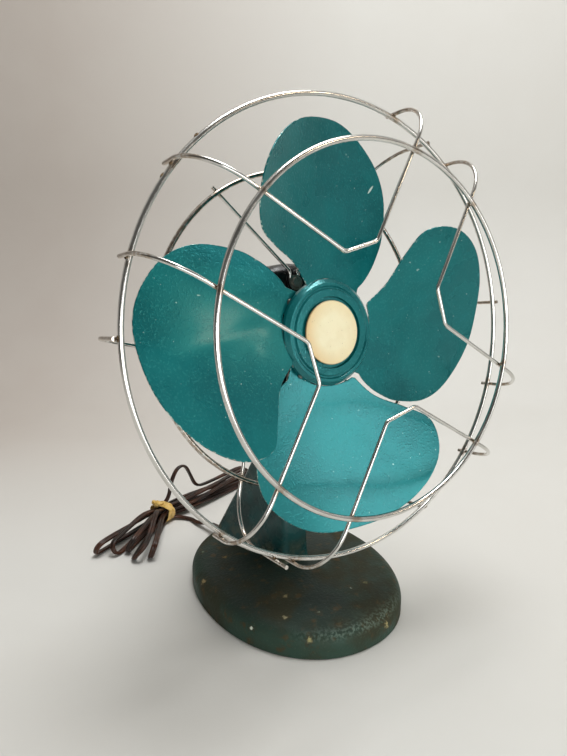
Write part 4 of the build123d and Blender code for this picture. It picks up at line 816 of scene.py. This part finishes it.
# zinc-plated bottom plate: grey spangle with storage stains
zincPlate, tree, shader, place = startFinish("zinc plate, stained", 0.45, 1.0)
spangle = addNode(tree, "ShaderNodeTexVoronoi", {"Vector": place, "Scale": 1 / (9 * mm)}).outputs["Color"]
tone = addNode(tree, "ShaderNodeSeparateXYZ", {0: spangle}).outputs[0]
layered(tree, shader, "#8E8F8E", (tone, 0.6, "#A9ABAB"),
        (patches(tree, place, 18, 0.5, 0.68, 5.0), 0.7, "#6B5F4F"))
surface(tree, shader, tone, 0.02, tone, (0.35, 0.55))

wireFinishes = {"main": platedWire("plated wire, main ring", welds["mainHalf"]),
                "front": platedWire("plated wire, front ring", welds["frontHalf"]),
                "plain": platedWire("plated wire", None, (welds["front"][0], welds["main"][0]))}

coats = {
    "base_shell": baseEnamel, "neck": neckEnamel, "motor_front_cover": motorEnamel,
    "motor_rear_cover": motorEnamel, "tilt_lug": motorEnamel, "bottom_plate": zincPlate, "felt_pad": greenFelt,
    "plate_screws": screwSteel, "neck_bolts": screwSteel, "tilt_bolt": screwSteel, "tilt_nut": oldBrass,
    "housing_screws": screwSteel, "guard_washers": screwSteel, "guard_screws": screwSteel,
    "switch_body": phenolic, "switch_nut": oldBrass, "switch_lever": oldBrass, "cord_relief": reliefRubber,
    "plug_body": phenolic, "plug_pins": oldBrass, "stator_core": lamination, "rotor_core": lamination,
    "field_coils": copperWinding, "front_bearing": bushBronze, "rear_bearing": bushBronze, "shaft": shaftSteel,
    "rotor_rings": castAlloy, "thrust_collars": shaftSteel, "blade_spider": screwSteel,
    "blade_rivets": screwSteel, "hub_screw": screwSteel, "hub_cover": hubEnamel, "hub_disc": creamMoulding,
    "guard_main_ring": wireFinishes["main"], "guard_front_ring": wireFinishes["front"],
    "guard_rear_ring": wireFinishes["plain"]}
for number in range(1, 5):
    coats[f"front_loop_{number}"] = wireFinishes["plain"]
for number in range(1, 4):
    coats[f"rear_strut_{number}"] = wireFinishes["plain"]
for name, finish in coats.items():
    node = cadNodes[name]
    if not node.material_slots:
        node.data.materials.append(finish)
    for place in node.material_slots:
        place.material = finish
for piece, finish in ((mainsLead, leadRubber), (hankTie, cottonTape), (tieKnot, cottonTape),
                      *((blade, bladeEnamel) for blade in bladePieces)):
    piece.data.materials.clear()
    piece.data.materials.append(finish)

print("weld beads")
beadPlaces = []
apart = welds["ringWire"] + welds["thinWire"]
for middle in range(4):
    for side in (-1, 1):
        turn = welds["loopTurn"] + 90 * middle + side * welds["frontHalf"]
        beadPlaces.append((ringPoint(welds["front"], turn, 0.0, -apart / 2), ringWay(turn)))
        turn = welds["loopTurn"] + 90 * middle + side * welds["mainHalf"]
        beadPlaces.append((ringPoint(welds["main"], turn, apart * 0.5), ringWay(turn)))
strutHalf = legAngle(welds["rear"][0], welds["legOffset"])
strutMainHalf = legAngle(welds["main"][0] + apart, welds["legOffset"])
for middle in range(3):
    for side in (-1, 1):
        turn = welds["strutTurn"] + 120 * middle + side * strutHalf
        beadPlaces.append((ringPoint(welds["rear"], turn, 0.0, -apart / 2), ringWay(turn)))
        if not (middle == 0 and side == 1):  # this leg has broken off
            turn = welds["strutTurn"] + 120 * middle + side * strutMainHalf
            beadPlaces.append((ringPoint(welds["main"], turn, apart * 0.5), ringWay(turn)))
for turn in welds["bareTurns"]:  # bare spots that the broken welds left on the main ring
    beadPlaces.append((ringPoint(welds["main"], turn, welds["ringWire"] * 0.75), ringWay(turn)))
weldBeads = meshPiece("weld_beads", [p for p, way in beadPlaces], [])
wayLayer = weldBeads.data.attributes.new("wire_way", "FLOAT_VECTOR", "POINT")
wayLayer.data.foreach_set("vector", [c for p, way in beadPlaces for c in way])
beadModifier = weldBeads.modifiers.new("beads", "NODES")
beadModifier.node_group = beadTree()
wanted = {"Radius": welds["beadRadius"] * mm, "Length": welds["beadLength"] / welds["beadRadius"],
          "Lumpiness": welds["lumpiness"] * mm * 2, "Seed": welds["seed"], "Finish": weldScale}
for item in beadModifier.node_group.interface.items_tree:
    if item.in_out == "INPUT" and item.name in wanted:
        beadModifier[item.identifier] = wanted[item.name]
plainMesh(weldBeads)

# what each piece rides on and stands for
print("frame")
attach(mainsLead, "base")
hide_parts("cord", "cord_hank", "cord_tail")
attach(hankTie, "base")
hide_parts("hank_tie")
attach(tieKnot, "base")
for number, blade in enumerate(bladePieces, 1):
    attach(blade, "rotor")
    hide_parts(f"blade_{number}")
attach(weldBeads, "head")

# the paper sweep in metres, behind and under the object, and the light
print("stage")
stage = {"floorRows": (-2.6, -1.2, -0.4, 0.1, 0.5), "bend": 0.4, "wallHeight": 2.6, "half": 3.2,
         "bendSteps": 16, "columns": 12, "worldStrength": 0.57}
flatForward = Vector((lookForward.x, lookForward.y, 0)).normalized()
flatRight = Vector((lookRight.x, lookRight.y, 0)).normalized()
wallStart, bend, columns = stage["floorRows"][-1], stage["bend"], stage["columns"]
outline = [(y, 0.0) for y in stage["floorRows"]]
for i in range(1, stage["bendSteps"] + 1):
    angle = math.pi / 2 * i / stage["bendSteps"]
    outline.append((wallStart + bend * math.sin(angle), bend * (1 - math.cos(angle))))
outline.append((wallStart + bend, stage["wallHeight"]))
stagePoints = [flatForward * y + Vector((0, 0, z)) + flatRight * (stage["half"] * (2 * i / columns - 1))
               for y, z in outline for i in range(columns + 1)]
stageFaces = [(r * (columns + 1) + c, r * (columns + 1) + c + 1, (r + 1) * (columns + 1) + c + 1,
               (r + 1) * (columns + 1) + c) for r in range(len(outline) - 1) for c in range(columns)]
paperSweep = meshPiece("paper_sweep", stagePoints, stageFaces)
# pale grey paper, with painted shade: warmer and darker towards the left and the back
paper, tree, shader, place = startFinish("pale grey paper", 0.85)
warm = []
for way, near, far in ((-flatRight, -0.15, 0.5), (flatForward, 0.02, 0.4)):
    ahead = addNode(tree, "ShaderNodeVectorMath", {0: place, 1: tuple(way)}, operation="DOT_PRODUCT")
    warm.append(addNode(tree, "ShaderNodeMapRange", {0: ahead.outputs["Value"], 1: near, 2: far}).outputs[0])
# the warmer, darker colour towards the left and the back is painted shade
layered(tree, shader, "#D4D3CE", (*warm, "#BDB5AD"),
        (patches(tree, place, 90, 0.3, 0.7), 0.12, "#CBC8C0"))
paperSweep.data.materials.append(paper)

world = bpy.data.worlds.new("studio")
bpy.context.scene.world = world
world.use_nodes = True
tree = world.node_tree
backdrop = tree.nodes["Background"]
backdrop.inputs["Strength"].default_value = stage["worldStrength"]
# the room is darker on the viewer's side, except straight overhead
ways = addNode(tree, "ShaderNodeTexCoord").outputs["Generated"]
ahead = addNode(tree, "ShaderNodeVectorMath", {0: ways, 1: tuple(flatForward)}, operation="DOT_PRODUCT")
darkSide = addNode(tree, "ShaderNodeMapRange", {0: ahead.outputs["Value"], 1: -0.08, 2: -0.3}).outputs[0]
skyward = addNode(tree, "ShaderNodeSeparateXYZ", {0: ways}).outputs[2]
lowDown = addNode(tree, "ShaderNodeMapRange", {0: skyward, 1: 0.97, 2: 0.9}).outputs[0]
layered(tree, backdrop, "#F2F0EC", (darkSide, lowDown, 0.9, "#56544F"))


def softLamp(name, place, target, size, watts, tint):
    lamp = bpy.data.lights.new(name, "AREA")
    lamp.shape = "RECTANGLE"
    lamp.size, lamp.size_y = size
    lamp.energy = watts
    lamp.color = linear(tint)[:3]
    holder = bpy.data.objects.new(name, lamp)
    holder.location = place
    holder.rotation_euler = (Vector(target) - Vector(place)).to_track_quat("-Z", "Y").to_euler()
    bpy.context.scene.collection.objects.link(holder)


lamps = {"top softbox": ((0.3, 0.0, 1.8), (0.05, -0.05, 0.1), (0.9, 0.8), 24, "#FFFFFF"),
         "window": ((-0.25, -2.2, 0.36), (0, 0, 0.25), (3.2, 0.75), 33, "#FFFFFF"),
         "warm lamp": ((0.95, -1.3, 0.98), (0, -0.05, 0.25), (0.16, 0.16), 1.4, "#FFE9CC")}
for name, (place, target, size, watts, tint) in lamps.items():
    softLamp(name, place, target, size, watts, tint)
bpy.context.scene.view_settings.view_transform = "Standard"

print("finish")
